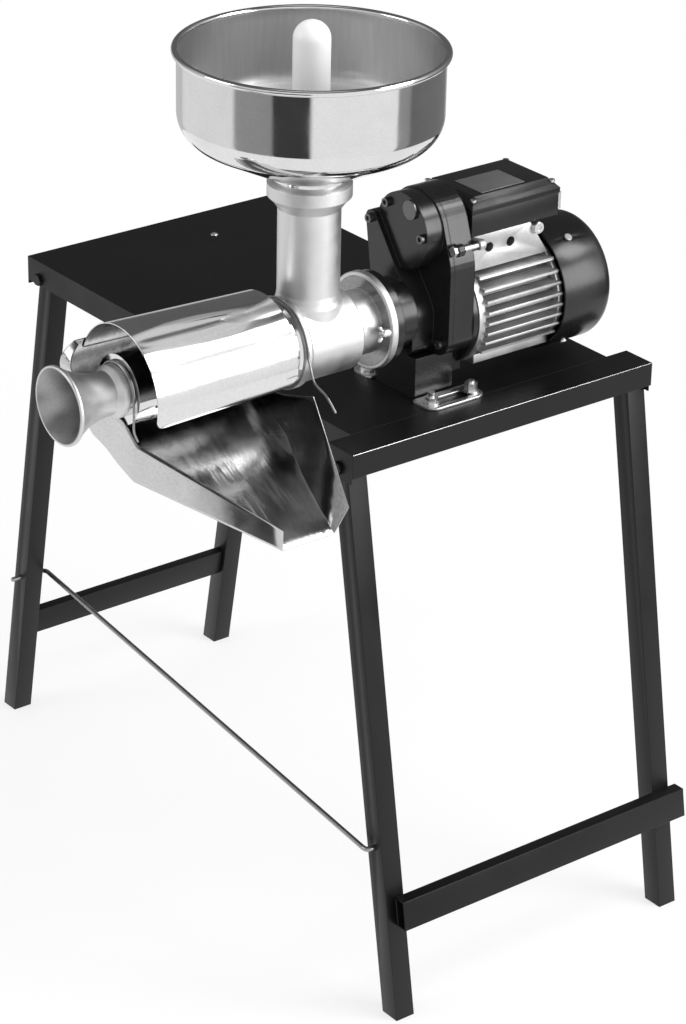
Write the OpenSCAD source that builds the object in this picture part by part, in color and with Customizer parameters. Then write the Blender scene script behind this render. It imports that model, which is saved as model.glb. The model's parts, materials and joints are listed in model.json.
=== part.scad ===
/* [Stand] */
// Length of the table top along X
table_l = 680; // [600:5:800]
// Depth of the table top along Y, front flange to rear flange
table_w = 368; // [340:2:420]
// Height of the table top above the floor
table_h = 666; // [560:2:800]
// Thickness of the folded steel sheet
sheet_t = 1.5; // [1:0.1:2.5]
// Height of the front and rear flanges
flange_h = 31; // [24:1:40]
// Height of the flange at the left end
end_flange_h = 35; // [28:1:45]
// Length along Y of the channel under the right end
channel_l = 430; // [420:2:470]
// Width along X of that channel
channel_w = 44; // [40:1:60]
// Height of its two end faces
channel_h = 36; // [30:1:44]
// Height of its lower outer rail
rail_h = 28; // [22:1:32]
// Outside width of the square leg tube
leg_w = 25; // [20:1:32]
// Wall of the leg tube
leg_t = 1.5; // [1:0.1:3]
// Distance of the leg heads' outer faces from the table's ends
leg_back = 15.5; // [13:0.5:20]
// Splay of a leg from the table's height down to the floor
leg_splay = 115; // [80:0.5:150]
// Inset of the left leg pair inside the right pair
leg_inset = 39.5; // [38:0.5:46]
// Height of the stretcher tube
stretcher_h = 35; // [28:1:45]
// Thickness of the stretcher tube
stretcher_t = 15; // [12:1:20]
// Height of the stretchers' middle above the floor
stretcher_z = 130; // [80:2:240]
// Overhang of the right stretcher past the rear leg
stretcher_over = 9; // [4:1:20]
// Radius of the tie rod
rod_r = 3; // [2:0.25:5]
// Height of the tie rod above the floor
rod_z = 205; // [170:1:320]
/* [Press body] */
// Distance of the press axis right of the table's middle
press_x = 230; // [200:1:240]
// Height of the press axis above the table top
press_h = 95; // [88:1:120]
// Radius of the body tube
tube_r = 46.5; // [42:0.5:56]
// Radius of the bore that holds the screw
bore_r = 38.5; // [34:0.5:41]
// Length of the body in front of its rear flange
tube_l = 114; // [104:1:150]
// Radius of the waist between tube and flange
waist_r = 36; // [30:0.5:36]
// Length of that waist
waist_l = 30; // [24:1:34]
// Radius of the rear flange
flange_r = 54.7; // [52:0.1:62]
// Thickness of the rear flange
flange_t = 8; // [6:1:14]
// Distance of the neck's axis in front of the flange
neck_d = 74; // [60:1:76]
// Outside radius of the neck
neck_r = 34; // [32:0.5:38]
// Bore radius of the neck
neck_bore_r = 28; // [24:0.5:28.5]
// Height of the neck's top above the press axis
neck_h = 177; // [150:1:200]
// Radius of the cast collar on the neck
collar_r = 45.6; // [42:0.2:52]
/* [Hopper and pusher] */
// Outside radius of the hopper's rolled rim
rim_r = 146; // [120:1:180]
// Radius of the rolled rim's bead
bead_r = 3.6; // [2:0.2:5]
// Height of the rim above the neck's top
bowl_h = 148; // [120:1:180]
// Height of the straight wall below the rim
wall_h = 88; // [60:1:90]
// Radius of the knuckle between wall and cone
knuckle_r = 17; // [8:1:24]
// Sheet thickness of the hopper
hopper_t = 1.2; // [0.8:0.1:2]
// Depth of the hopper's spigot in the neck
spigot_h = 24; // [12:1:30]
// Radius of the pusher's stem
pusher_r = 20; // [14:0.5:22]
// Height of the pusher's top above the rim
pusher_over = 28; // [10:1:60]
// Clearance round the pusher's foot in the neck
foot_gap = 2; // [0.5:0.1:4]
/* [Screw and strainer] */
// Radius of the screw's shaft
core_r = 13; // [10:0.5:16]
// Pitch of the screw
pitch = 48; // [36:1:60]
// Length of the strainer in front of the body
strainer_l = 205; // [180:1:240]
// Strainer radius where it leaves the body
strainer_r0 = 44; // [40:0.5:46]
// Strainer radius at its front end
strainer_r1 = 38; // [30:0.5:42]
// Rows of holes along the strainer
hole_rows = 6; // [4:1:12]
// Holes in one row
holes_round = 10; // [6:1:16]
// Radius of one hole
hole_r = 2; // [1:0.1:3]
/* [Waste funnel] */
// Length of the waste funnel
funnel_l = 70; // [60:1:90]
// Radius of its mouth
mouth_r = 43; // [36:0.5:50]
// Radius of its throat
throat_r = 20; // [16:0.5:24]
// Wall of the cast funnel
funnel_t = 3; // [2:0.25:5]
/* [Guard and chute] */
// Length of the splash guard
guard_l = 184; // [160:1:190]
// Guard radius at the rear end
guard_r0 = 63.5; // [58:0.5:66]
// Guard radius at the front end
guard_r1 = 71; // [68:0.5:72]
// Angle of the guard's lower edge below level
guard_low = 18; // [5:1:25]
// Angle covered by the guard
guard_sweep = 178; // [150:1:185]
// Sheet thickness of guard and chute
steel_t = 1.2; // [0.8:0.1:2]
// Slope of the chute's floor
chute_slope = 30; // [24:1:34]
// Reach of the chute's lip from the press axis
chute_reach = 138; // [120:1:150]
// Width of the lip's flat part
lip_w = 43; // [30:1:50]
// Radius of the spring clip wire
wire_r = 1.3; // [1:0.1:2]
/* [Gearbox] */
// Length of the output boss in front of the cover
boss_l = 37; // [28:1:44]
// Radius of the output boss
boss_r = 40; // [34:0.5:44]
// Depth of the cover in front of the split
cover_l = 35; // [30:1:45]
// Depth of the case behind the split
case_l = 28; // [28:1:36]
// Half width of the case
case_w = 60; // [59:0.5:66]
// Distance of the cover's front face before the middle
drive_front = 75; // [60:1:90]
// Height of the oil plug above the press axis
plug_rise = 122; // [118:1:124]
// Distance of the oil plug beside the press axis
plug_side = 16; // [12:1:20]
// Teeth of the motor pinion
motor_teeth = 14; // [13:1:16]
// Teeth of the first wheel
wheel_teeth = 66; // [60:1:68]
// Module of the first pair
wheel_m = 1.6; // [1.5:0.05:1.65]
// Teeth of the second pinion
lay_teeth = 12; // [11:1:14]
// Teeth of the output wheel
out_teeth = 41; // [38:1:42]
// Module of the second pair
out_m = 2; // [1.9:0.05:2.05]
// Radius of the output shaft
out_r = 12; // [9:0.5:14]
// Running clearance of every journal
run_gap = 0.05; // [0.02:0.01:0.1]
/* [Motor] */
// Length of the finned housing
motor_l = 118; // [100:1:140]
// Radius over the housing's round body
motor_r = 59; // [56:0.5:64]
// Reach of the cooling fins from the motor axis
fin_r = 70; // [67:0.5:72]
// Thickness of one fin
fin_t = 3; // [2:0.25:4]
// Distance between fins
fin_pitch = 9.5; // [8:0.5:11]
// Gap between the housing's end and the fan
fan_gap = 16; // [10:1:24]
// Radius of the fan cover
cowl_r = 73.5; // [72.5:0.5:78]
// Length of the fan cover
cowl_l = 71; // [60:1:90]
// Radius of the motor shaft
shaft_r = 7; // [5:0.5:9]
// Blades of the cooling fan
fan_blades = 7; // [5:1:10]
// Height of the terminal box's foot above the motor's axis
box_rise = 96; // [94:1:104]
// Width of the terminal box along X
box_w = 90; // [76:1:96]
// Length of the terminal box along Y
box_l = 124; // [100:1:130]
// Height of the terminal box below its lid
box_h = 26; // [20:1:40]
// Height of its bevelled lid
lid_h = 17; // [12:1:26]

/* [Hidden] */
$fn = 64;
eps = 0.01;
tiny = 0.3;

// Stations along Y run from the gearbox cover forwards, and the origin is midway between the two ends.
press_reach = drive_front + boss_l + flange_t + tube_l + strainer_l + funnel_l + 5;
rear_reach = channel_l / 2 + stretcher_over;
stand_y = (press_reach - rear_reach) / 2;
cover_y = stand_y - drive_front;
boss_y = cover_y - boss_l;
flange_y = boss_y - flange_t;
tube_y = flange_y - tube_l;
neck_y = flange_y - neck_d;
head_y = tube_y - strainer_l;
mouth_y = stand_y - press_reach;
split_y = cover_y + cover_l;
case_y = split_y + case_l;
motor_y = case_y + 7;
cowl_y = motor_y + motor_l;

axis_z = table_h + press_h;
lay_z = axis_z + out_m * (lay_teeth + out_teeth) / 2;
motor_z = lay_z - wheel_m * (motor_teeth + wheel_teeth) / 2;
neck_z = axis_z + neck_h;
rim_z = neck_z + bowl_h;

leg_top_x = table_l / 2 - leg_back;
leg_foot_x = leg_top_x + leg_splay;
tilt = atan(leg_splay / table_h);
leg_run = leg_w / cos(tilt);
leg_y = channel_l / 2 - sheet_t - tiny - leg_w;
left_y = leg_y - leg_inset;
leg_head = table_h - sheet_t - tiny;
panel_end = table_l / 2 - channel_w;
pivot_z = table_h - 23;
pivot_r = 4;

// Outer face of a leg at height z
function leg_x(z) = leg_top_x + leg_splay * (table_h - z) / table_h;

// Point on a circle about the press axis, in the XZ plane
function about(r, a) = [press_x + r * cos(a), axis_z + r * sin(a)];

function unit(v) = v / norm(v);

// Points of an arc in a flat outline
function arc(cx, cy, r, a0, a1, n) = [for (i = [0:n]) let (a = a0 + (a1 - a0) * i / n)
    [cx + r * cos(a), cy + r * sin(a)]];

module along_y(y0, y1) {
    translate([0, y1, 0])
        rotate([90, 0, 0])
            linear_extrude(y1 - y0)
                children();
}

module rod_y(r, y0, y1, x, z) {
    translate([x, y0, z])
        rotate([-90, 0, 0])
            cylinder(r = r, h = y1 - y0);
}

module turned_y(y, x, z) {
    translate([x, y, z])
        rotate([-90, 0, 0])
            rotate_extrude($fn = 96)
                children();
}

module hex_y(af, y0, y1, x, z) {
    translate([x, y0, z])
        rotate([-90, 0, 0])
            cylinder(d = af / cos(30), h = y1 - y0, $fn = 6);
}

module hex_z(af, h) {
    cylinder(d = af / cos(30), h = h, $fn = 6);
}

module block(x0, x1, y0, y1, z0, z1) {
    translate([x0, y0, z0])
        cube([x1 - x0, y1 - y0, z1 - z0]);
}

// Closed thin sheet over a grid of points, thickened along the grid's own normals
module sheet(grid, t) {
    rows = len(grid);
    cols = len(grid[0]);
    function at(i, j) = grid[max(0, min(rows - 1, i))][max(0, min(cols - 1, j))];
    function way(a, b) = norm(b - a) > 0 ? unit(b - a) : [0, 0, 0];
    function step(i, j) = unit(cross(
        way(at(i - 1, j), at(i, j)) + way(at(i, j), at(i + 1, j)),
        way(at(i, j - 1), at(i, j)) + way(at(i, j), at(i, j + 1))
    ));
    inner = [for (i = [0:rows - 1]) for (j = [0:cols - 1]) at(i, j)];
    outer = [for (i = [0:rows - 1]) for (j = [0:cols - 1]) at(i, j) - t * step(i, j)];
    n = rows * cols;
    function id(i, j) = i * cols + j;
    skin = [for (i = [0:rows - 2]) for (j = [0:cols - 2])
        each [[id(i, j), id(i, j + 1), id(i + 1, j + 1)], [id(i, j), id(i + 1, j + 1), id(i + 1, j)]]];
    back = [for (f = skin) [n + f[2], n + f[1], n + f[0]]];
    rim = concat(
        [for (i = [0:rows - 2]) [id(i, 0), id(i + 1, 0)]],
        [for (j = [0:cols - 2]) [id(rows - 1, j), id(rows - 1, j + 1)]],
        [for (i = [rows - 1:-1:1]) [id(i, cols - 1), id(i - 1, cols - 1)]],
        [for (j = [cols - 1:-1:1]) [id(0, j), id(0, j - 1)]]
    );
    edge = [for (e = rim) each [[e[0], e[1], n + e[1]], [e[0], n + e[1], n + e[0]]]];
    polyhedron(concat(inner, outer), concat(skin, back, edge), convexity = 8);
}

// Solid through a list of rings with equal numbers of points
module loft(rings) {
    n = len(rings[0]);
    m = len(rings);
    side = [for (i = [0:m - 2]) for (j = [0:n - 1]) let (k = (j + 1) % n)
        each [[i * n + j, (i + 1) * n + j, (i + 1) * n + k], [i * n + j, (i + 1) * n + k, i * n + k]]];
    polyhedron(
        [for (r = rings) each r],
        concat([[for (j = [0:n - 1]) j]], side, [[for (j = [n - 1:-1:0]) (m - 1) * n + j]]),
        convexity = 8
    );
}

// Round wire along a list of points that keeps square to the direction up
module wire(path, r, up) {
    last = len(path) - 1;
    sides = 12;
    function along(i) = unit((i > 0 ? unit(path[i] - path[i - 1]) : [0, 0, 0])
        + (i < last ? unit(path[i + 1] - path[i]) : [0, 0, 0]));
    loft([for (i = [0:last]) let (t = along(i), u = unit(cross(up, t)), v = cross(t, u))
        [for (j = [0:sides - 1]) path[i] + r * (cos(360 * j / sides) * u + sin(360 * j / sides) * v)]]);
}

// Stand

module table_panel() {
    w = table_w / 2;
    color("#1b1b1c")
        translate([0, stand_y, 0])
            difference() {
                union() {
                    block(-table_l / 2, panel_end, -w, w, table_h - flange_h, table_h);
                    block(-table_l / 2, -table_l / 2 + sheet_t, -w, w, table_h - end_flange_h, table_h);
                }
                block(-table_l / 2 + sheet_t, panel_end + eps, -w + sheet_t, w - sheet_t,
                    table_h - end_flange_h - eps, table_h - sheet_t);
                for (side = [-1, 1])
                    rod_y(pivot_r, side * w - 2 * sheet_t, side * w + 2 * sheet_t, pivot_x(-1), pivot_z);
                translate([rivet_x, rivet_y, table_h - sheet_t - eps])
                    cylinder(r = rivet_r, h = sheet_t + 2 * eps);
            }
}

rivet_x = 72 - table_l / 2;
rivet_y = table_w / 2 - 142;
rivet_r = 2.5;

// Pivot bolt of a leg pair, in the middle of the leg
function pivot_x(side) = side * (leg_x(pivot_z) - leg_run / 2);

module end_channel() {
    l = channel_l / 2;
    x1 = table_l / 2;
    color("#1d1d1e")
        translate([0, stand_y, 0])
            difference() {
                block(panel_end, x1, -l, l, table_h - channel_h, table_h);
                block(panel_end + sheet_t, x1 - sheet_t, -l + sheet_t, l - sheet_t,
                    table_h - channel_h - eps, table_h - sheet_t);
                block(x1 - 2 * sheet_t, x1 + eps, -l - eps, l + eps, table_h - channel_h - eps, table_h - rail_h);
                for (side = [-1, 1])
                    rod_y(pivot_r, side * l - 2 * sheet_t, side * l + 2 * sheet_t, pivot_x(1), pivot_z);
            }
}

// Square tube leg on side x, splayed along X, with holes for the pivot and, to a depth, for the tie rod
module leg(x, y0, rod_hole) {
    color("#18181a")
        translate([0, stand_y + y0, 0])
            difference() {
                along_y(0, leg_w)
                    polygon([[x * leg_foot_x, 0], [x * leg_x(leg_head), leg_head],
                        [x * (leg_x(leg_head) - leg_run), leg_head], [x * (leg_foot_x - leg_run), 0]]);
                along_y(leg_t, leg_w - leg_t)
                    polygon([[x * (leg_x(-1) - leg_t), -1], [x * (leg_x(leg_head + 1) - leg_t), leg_head + 1],
                        [x * (leg_x(leg_head + 1) - leg_run + leg_t), leg_head + 1],
                        [x * (leg_x(-1) - leg_run + leg_t), -1]]);
                rod_y(pivot_r + tiny, -1, leg_w + 1, pivot_x(x), pivot_z);
                if (rod_hole > 0)
                    rod_y(rod_r + tiny, -1, rod_hole, x * (leg_x(rod_z) - leg_run / 2), rod_z);
            }
}

module leg_front_left() {
    leg(-1, -left_y - leg_w, leg_w + 1);
}

module leg_rear_left() {
    leg(-1, left_y, 0);
}

module leg_front_right() {
    leg(1, -leg_y - leg_w, leg_w / 2);
}

module leg_rear_right() {
    leg(1, leg_y, 0);
}

// Plastic end plugs that stand on the floor inside the tube mouths
module leg_plugs() {
    gap = 0.1;
    depth = 14;
    in = leg_t + gap;
    color("#101010")
        translate([0, stand_y, 0])
            for (side = [-1, 1], y = side < 0 ? [-left_y - leg_w, left_y] : [-leg_y - leg_w, leg_y])
                along_y(y + in, y + leg_w - in)
                    polygon([[side * (leg_x(0) - in), 0], [side * (leg_x(depth) - in), depth],
                        [side * (leg_x(depth) - leg_run + in), depth], [side * (leg_x(0) - leg_run + in), 0]]);
}

// Rectangular tube, tilted to lie flush with the legs
module stretcher(side, y0, y1, out) {
    z0 = stretcher_z - stretcher_h / 2;
    rise = stretcher_h * cos(tilt);
    lean = stretcher_h * sin(tilt);
    run = stretcher_t / cos(tilt);
    wall = 1.5;
    x0 = leg_x(z0) + out;
    color("#161617")
        translate([0, stand_y, 0])
            difference() {
                along_y(y0, y1)
                    polygon([[side * x0, z0], [side * (x0 + run), z0],
                        [side * (x0 + run - lean), z0 + rise], [side * (x0 - lean), z0 + rise]]);
                along_y(y0 - 1, y1 + 1)
                    polygon([[side * (x0 + wall - wall * sin(tilt)), z0 + wall],
                        [side * (x0 + run - wall - wall * sin(tilt)), z0 + wall],
                        [side * (x0 + run - lean - wall + wall * sin(tilt)), z0 + rise - wall],
                        [side * (x0 - lean + wall + wall * sin(tilt)), z0 + rise - wall]]);
            }
}

module stretcher_left() {
    stretcher(-1, -left_y, left_y, -(leg_run + stretcher_t / cos(tilt)) / 2);
}

module stretcher_right() {
    stretcher(1, -leg_y - leg_w / 2, rear_reach, 0);
}

// Bent steel rod, hooked through the front left leg and into the front right leg
module tie_rod() {
    x = leg_x(rod_z) - leg_run / 2;
    bend = 9;
    start = [-x, -left_y - leg_w - 12];
    turn = [-x, -left_y + bend + 3];
    stop = [x, -leg_y - leg_w - 11];
    last = [x, -leg_y - leg_w + 8];
    path = concat([start], rounded(start, turn, stop, bend), rounded(turn, stop, last, bend), [last]);
    color("#a8a8a6")
        translate([0, stand_y, rod_z])
            wire([for (p = path) [p[0], p[1], 0]], rod_r, [0, 0, 1]);
}

// Corner of a flat path, rounded with a few short chords
function rounded(a, b, c, r) = let (
    u = unit(a - b),
    v = unit(c - b),
    half = acos(u * v) / 2,
    reach = r / tan(half),
    mid = b + unit(u + v) * r / sin(half),
    p = b + u * reach - mid,
    q = b + v * reach - mid,
    a0 = atan2(p[1], p[0]),
    turn = atan2(p[0] * q[1] - p[1] * q[0], p * q)
) [for (i = [0:6]) mid + r * [cos(a0 + turn * i / 6), sin(a0 + turn * i / 6)]];

// Hex bolts that carry the leg heads in the panel and in the channel
module pivot_bolts() {
    head = 4;
    color("#8d8d8c")
        translate([0, stand_y, 0])
            for (side = [-1, 1], end = [-1, 1]) {
                face = side < 0 ? table_w / 2 : channel_l / 2;
                inner = side < 0 ? left_y : leg_y;
                mirror([0, end < 0 ? 1 : 0, 0]) {
                    rod_y(pivot_r - 0.1, inner - 7, face, pivot_x(side), pivot_z);
                    hex_y(13, face, face + head, pivot_x(side), pivot_z);
                    hex_y(13, inner - 6, inner, pivot_x(side), pivot_z);
                    if (face - sheet_t - inner - leg_w > 0.5)
                        rod_y(8, inner + leg_w, face - sheet_t, pivot_x(side), pivot_z);
                }
            }
}

module table_rivet() {
    color("#9a9a98")
        translate([rivet_x, stand_y + rivet_y, table_h]) {
            translate([0, 0, -sheet_t - 2])
                cylinder(r = rivet_r - 0.05, h = sheet_t + 2);
            difference() {
                translate([0, 0, -3.4])
                    sphere(r = 6);
                translate([0, 0, -10])
                    cylinder(r = 8, h = 10);
            }
        }
}

// Press body

shaft_hole_r = out_r + run_gap;
ring_r = 50;
ring_l = 9;
wall_y = flange_y - waist_l - 4;
screw_pcd = 47;
screw_a = 3;
wing = screw_pcd - waist_r - 0.8;

module press_body() {
    seat = 4;
    color("#c9cac8")
        difference() {
            union() {
                turned_y(tube_y, press_x, axis_z)
                    polygon([[0, 0], [ring_r, 0], [ring_r, ring_l], [tube_r, ring_l + 4],
                        [tube_r, tube_l - waist_l - 3], [tube_r - 3, tube_l - waist_l], [waist_r, tube_l - waist_l],
                        [waist_r, tube_l], [flange_r - 1, tube_l], [flange_r, tube_l + 1],
                        [flange_r, tube_l + flange_t], [0, tube_l + flange_t]]);
                translate([press_x, neck_y, axis_z])
                    rotate_extrude($fn = 96)
                        polygon([[0, 10], [neck_r + 3, 10], [neck_r + 3, tube_r - 4],
                            [neck_r + 1, tube_r + 1], [neck_r, tube_r + 8], [neck_r, neck_h - 28],
                            [collar_r - 5, neck_h - 19], [collar_r, neck_h - 14], [collar_r, neck_h],
                            [0, neck_h]]);
                block(press_x - 4, press_x + 4, tube_y + ring_l, neck_y, axis_z + tube_r - 6, axis_z + tube_r + 6);
            }
            rod_y(bore_r, tube_y - 1, wall_y, press_x, axis_z);
            rod_y(strainer_r0 + seat / 2 + 0.1, tube_y - 1, tube_y + seat, press_x, axis_z);
            rod_y(shaft_hole_r, wall_y - 1, boss_y + 1, press_x, axis_z);
            translate([press_x, neck_y, axis_z])
                cylinder(r = neck_bore_r, h = neck_h + 1);
            translate([press_x, neck_y, neck_z - spigot_h])
                cylinder(r = neck_bore_r + hopper_t + 0.9, h = spigot_h + 1);
            for (s = [0, 1]) {
                p = screw_at(s);
                rod_y(4.3, flange_y - 20, boss_y + 1, p[0], p[1]);
            }
        }
}

// Place of a wing screw in the XZ plane
function screw_at(s) = about(screw_pcd, s == 0 ? screw_a : 180 + screw_a);

// Wing screw through the flange into the boss
module wing_screw(s) {
    p = screw_at(s);
    head_y = flange_y - 10;
    color("#b7b7b5")
        translate([p[0], 0, p[1]]) {
            rod_y(3.95, flange_y - eps, boss_y + 9, 0, 0);
            rod_y(5.6, head_y, flange_y, 0, 0);
            for (side = [-1, 1])
                hull() {
                    rod_y(2.4, head_y + 1, head_y + 6, 0, side * 2);
                    rod_y(3, head_y - 7, head_y - 3, 0, side * (wing - 3));
                }
        }
}

module wing_screw_right() {
    wing_screw(0);
}

module wing_screw_left() {
    wing_screw(1);
}

// Hopper

module hopper() {
    wall_r = rim_r - 5.5;
    foot_r = neck_bore_r + hopper_t + 0.6;
    knee_z = bowl_h - wall_h;
    fall = 24;
    t = hopper_t;
    seat_r = collar_r - 6;
    outside = concat(
        [[foot_r, -spigot_h + 0.2], [foot_r, 0], [seat_r, 0]],
        arc(wall_r - knuckle_r, knee_z, knuckle_r, fall - 90, 0, 8),
        [[wall_r, bowl_h - bead_r]]
    );
    inside = concat(
        [[wall_r - t, bowl_h - bead_r]],
        arc(wall_r - knuckle_r, knee_z, knuckle_r - t, 0, fall - 90, 8),
        [[seat_r - 0.5, t], [foot_r - t + 1, t], [foot_r - t, t - 1], [foot_r - t, -spigot_h + 0.2]]
    );
    color("#d9dadb")
        translate([press_x, neck_y, neck_z])
            rotate_extrude($fn = 128)
                union() {
                    polygon(concat(outside, inside));
                    translate([rim_r - bead_r, bowl_h - bead_r])
                        circle(r = bead_r, $fn = 32);
                }
}

module pusher() {
    low = bore_r + tiny;
    top = neck_h + bowl_h + pusher_over;
    foot_r = neck_bore_r - foot_gap;
    color("#f2f2ee")
        translate([press_x, neck_y, axis_z])
            rotate_extrude($fn = 96)
                polygon(concat([[0, low], [foot_r - 2, low], [foot_r, low + 2], [foot_r, low + 9],
                    [pusher_r, low + 14]], arc(0, top - pusher_r, pusher_r, 0, 90, 12)));
}

// Screw and strainer

screw_r0 = bore_r - 0.6;

// Section of the screw at one station: the shaft, and the blade between two angles
function screw_ring(r, turn, z) = let (blade = 46, mid = (r + core_r) / 2)
    [for (p = concat(
        [for (i = [0:7]) [core_r, blade + (360 - blade) * i / 7]],
        [[mid, 6], [r, 13], [r, blade / 2], [r, blade - 13], [mid, blade - 6]]
    )) [p[0] * cos(p[1] + turn), p[0] * sin(p[1] + turn), z]];

// Rings of a screw between two stations along its axis, its radius running from r0 to r1
function screw_rings(z0, z1, r0, r1) = let (n = ceil((z1 - z0) / pitch * 18))
    [for (i = [0:n]) let (z = z0 + (z1 - z0) * i / n) screw_ring(r0 + (r1 - r0) * i / n, 360 * z / pitch, z)];

module auger() {
    start_y = wall_y - 1;
    body_l = start_y - tube_y;
    head_l = strainer_l - 8;
    color("#b9bab8") {
        rod_y(out_r, start_y - 1, boss_y, press_x, axis_z);
        translate([press_x, start_y, axis_z])
            rotate([90, 0, 0])
                loft(concat(screw_rings(0, body_l, screw_r0, screw_r0),
                    screw_rings(body_l + 1, body_l + head_l, screw_r0, strainer_r1 - 3)));
    }
}

module strainer() {
    wall = 1.5;
    seat = 4;
    l = strainer_l;
    step = (l - 40) / (hole_rows - 1);
    color("#cfd0d1")
        difference() {
            turned_y(head_y, press_x, axis_z)
                polygon([[throat_r + 2, -5], [throat_r + 9, -5], [throat_r + 9, 0], [strainer_r1, 0],
                    [strainer_r0, l - 3], [strainer_r0 + seat / 2, l], [strainer_r0 + seat / 2, l + seat],
                    [strainer_r0 - wall, l + seat], [strainer_r0 - wall, l - 3], [strainer_r1 - wall, 4],
                    [throat_r + 2, 4]]);
            for (i = [0:hole_rows - 1], j = [0:holes_round - 1])
                translate([press_x, head_y + 22 + i * step, axis_z])
                    rotate([0, (j + (i % 2) / 2) * 360 / holes_round, 0])
                        translate([0, 0, strainer_r1 - 8])
                            cylinder(r = hole_r, h = 20, $fn = 16);
        }
}

module waste_funnel() {
    l = funnel_l;
    t = funnel_t;
    color("#bfc0be")
        turned_y(mouth_y, press_x, axis_z)
            polygon(concat(
                [[mouth_r - 1, 0], [mouth_r, 1], [mouth_r, 4]],
                [for (i = [0:8]) let (u = i / 8)
                    [throat_r + 4 + (mouth_r - throat_r - 5) * pow(1 - u, 2.2), 4 + (l - 16) * u]],
                [[throat_r + 9, l - 6], [throat_r + 9, l], [throat_r, l], [throat_r, l - 14]],
                [for (i = [0:8]) let (u = 1 - i / 8)
                    [throat_r + (mouth_r - throat_r - t) * pow(1 - u, 2.2), (l - 16) * u]]
            ));
}

// Guard and chute

module splash_guard() {
    back = tube_y - 12;
    t = steel_t;
    color("#dfe0e1")
        translate([press_x, back - guard_l, axis_z])
            rotate([-90, 0, 0])
                rotate_extrude(angle = guard_sweep, start = guard_low - guard_sweep, $fn = 96)
                    polygon([[guard_r1 - t, 0], [guard_r1, 0], [guard_r0, guard_l], [guard_r0 - t, guard_l]]);
}

// The chute is one bent sheet: a round far wall, a sloping floor, end plates and a narrowing spout.
chute_r = guard_r1 + 2 * tiny;
chute_front = head_y - 8;
chute_back = tube_y - 5;
notch_r = throat_r + 11;
ring_notch = ring_r + 5;
foot_a = 270 - chute_slope;
chute_base = about(chute_r, foot_a);
fold_x = press_x + 24;
fold_h = 43;

function floor_z(x) = chute_base[1] - (x - chute_base[0]) * tan(chute_slope);

module drip_chute() {
    lip_x = press_x + chute_reach;
    lip_back = chute_back - 22;
    lip_front = lip_back - 24 - lip_w;
    arc_rows = [for (a = [150:10:foot_a]) let (
        p = about(chute_r, a),
        n = about(notch_r, a),
        m = about(ring_notch, a),
        yf = chute_front - 25 * max(0, 1 - (a - 150) / 70))
        [[n[0], yf + 1, n[1]], [p[0], yf, p[1]], [p[0], chute_back, p[1]], [m[0], chute_back, m[1]]]];
    function fall(u) = let (
        x = fold_x + (lip_x - fold_x) * u,
        z = floor_z(x),
        yf = chute_front + 10 + (lip_front - chute_front - 10) * u,
        yr = chute_back + (lip_back - chute_back) * pow(u, 0.6))
        [[x + 4 - 6 * u, yf + 2, z + fold_h - 22 * u], [x, yf, z], [x, yr, z],
            [x + 46 - 46 * u, chute_back - 2 * u, z + 62 - 37 * u]];
    function under(a, x) = let (n = about(notch_r, a), m = about(ring_notch, a))
        [[n[0], chute_front + 6, n[1]], [x, chute_front + 5, floor_z(x)],
            [x, chute_back, floor_z(x)], [m[0], chute_back, m[1]]];
    color("#d3d4d5")
        sheet(concat(arc_rows, [under(265, (chute_base[0] + press_x) / 2), under(290, press_x)],
            [for (u = [0, 0.3, 0.65, 1]) fall(u)]), steel_t);
}

// Upper half turn of a wire clip, 0.3 mm clear of the round piece of radius r that it sits on
function bow(r, y) = [for (a = [200:-10:0]) let (p = about(r, a)) [p[0], y, p[1]]];

module clip_front() {
    r = throat_r + 9 + wire_r + 1.5 * tiny;
    y0 = mouth_y + funnel_l + 2;
    color("#c4c4c2")
        wire(concat(bow(r, y0), [[press_x + r + 1, y0, axis_z - 14], [press_x + r, y0, axis_z - 36],
            [fold_x + 4, chute_front + 12, floor_z(fold_x) + fold_h + wire_r + 1]]), wire_r, [0, 1, 0]);
}

module clip_rear() {
    r = ring_r + wire_r + 1.5 * tiny;
    y0 = tube_y + wire_r + 1;
    color("#c4c4c2")
        wire(concat(bow(r, y0), [[press_x + r + 14, y0 - 3, axis_z - 22], [press_x + r + 36, y0 - 2, axis_z - 30],
            [press_x + r + 48, y0, axis_z - 44]]), wire_r, [0, 1, 0]);
}

// Gearbox

// Gear outline with involute flanks; back is the total backlash at the pitch circle
pressure = 25;
addendum = 0.8;
dedendum = 1.1;
backlash = 0.2;

function inv(a) = tan(a) * 180 / PI - a;

function flank(m, z, r) = let (
    base = m * z / 2 * cos(pressure),
    a = r > base ? acos(base / r) : 0)
    (90 - backlash * 180 / PI / m) / z + inv(pressure) - inv(a);

module gear_2d(m, z, phase) {
    root = m * (z / 2 - dedendum);
    base = m * z / 2 * cos(pressure);
    tip = m * (z / 2 + addendum);
    start = max(root, base);
    rs = [root, for (i = [0:4]) start + (tip - start) * i / 4];
    polygon([for (k = [0:z - 1]) let (a0 = phase + 360 * k / z)
        each concat(
            [for (r = rs) let (a = a0 - flank(m, z, r)) r * [cos(a), sin(a)]],
            [for (i = [len(rs) - 1:-1:0]) let (a = a0 + flank(m, z, rs[i])) rs[i] * [cos(a), sin(a)]]
        )]);
}

wheel_w = 9;
wheel_y = split_y + 13;
out_wheel_y = split_y + 2;
journal_r = 8;
lug = [-44, 96];
lobe_r = 45;
lobe_z = 94;

module gear_wheel(m, z, phase, y, w, zc) {
    along_y(y, y + w)
        translate([press_x, zc])
            gear_2d(m, z, phase);
}

module case_outline() {
    translate([press_x, 0])
        hull() {
            for (side = [-1, 1])
                translate([side * (case_w - 22), axis_z - 23])
                    circle(r = 22);
            translate([0, lay_z])
                circle(r = case_w);
            translate([2, axis_z + lobe_z])
                circle(r = lobe_r);
        }
}

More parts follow.
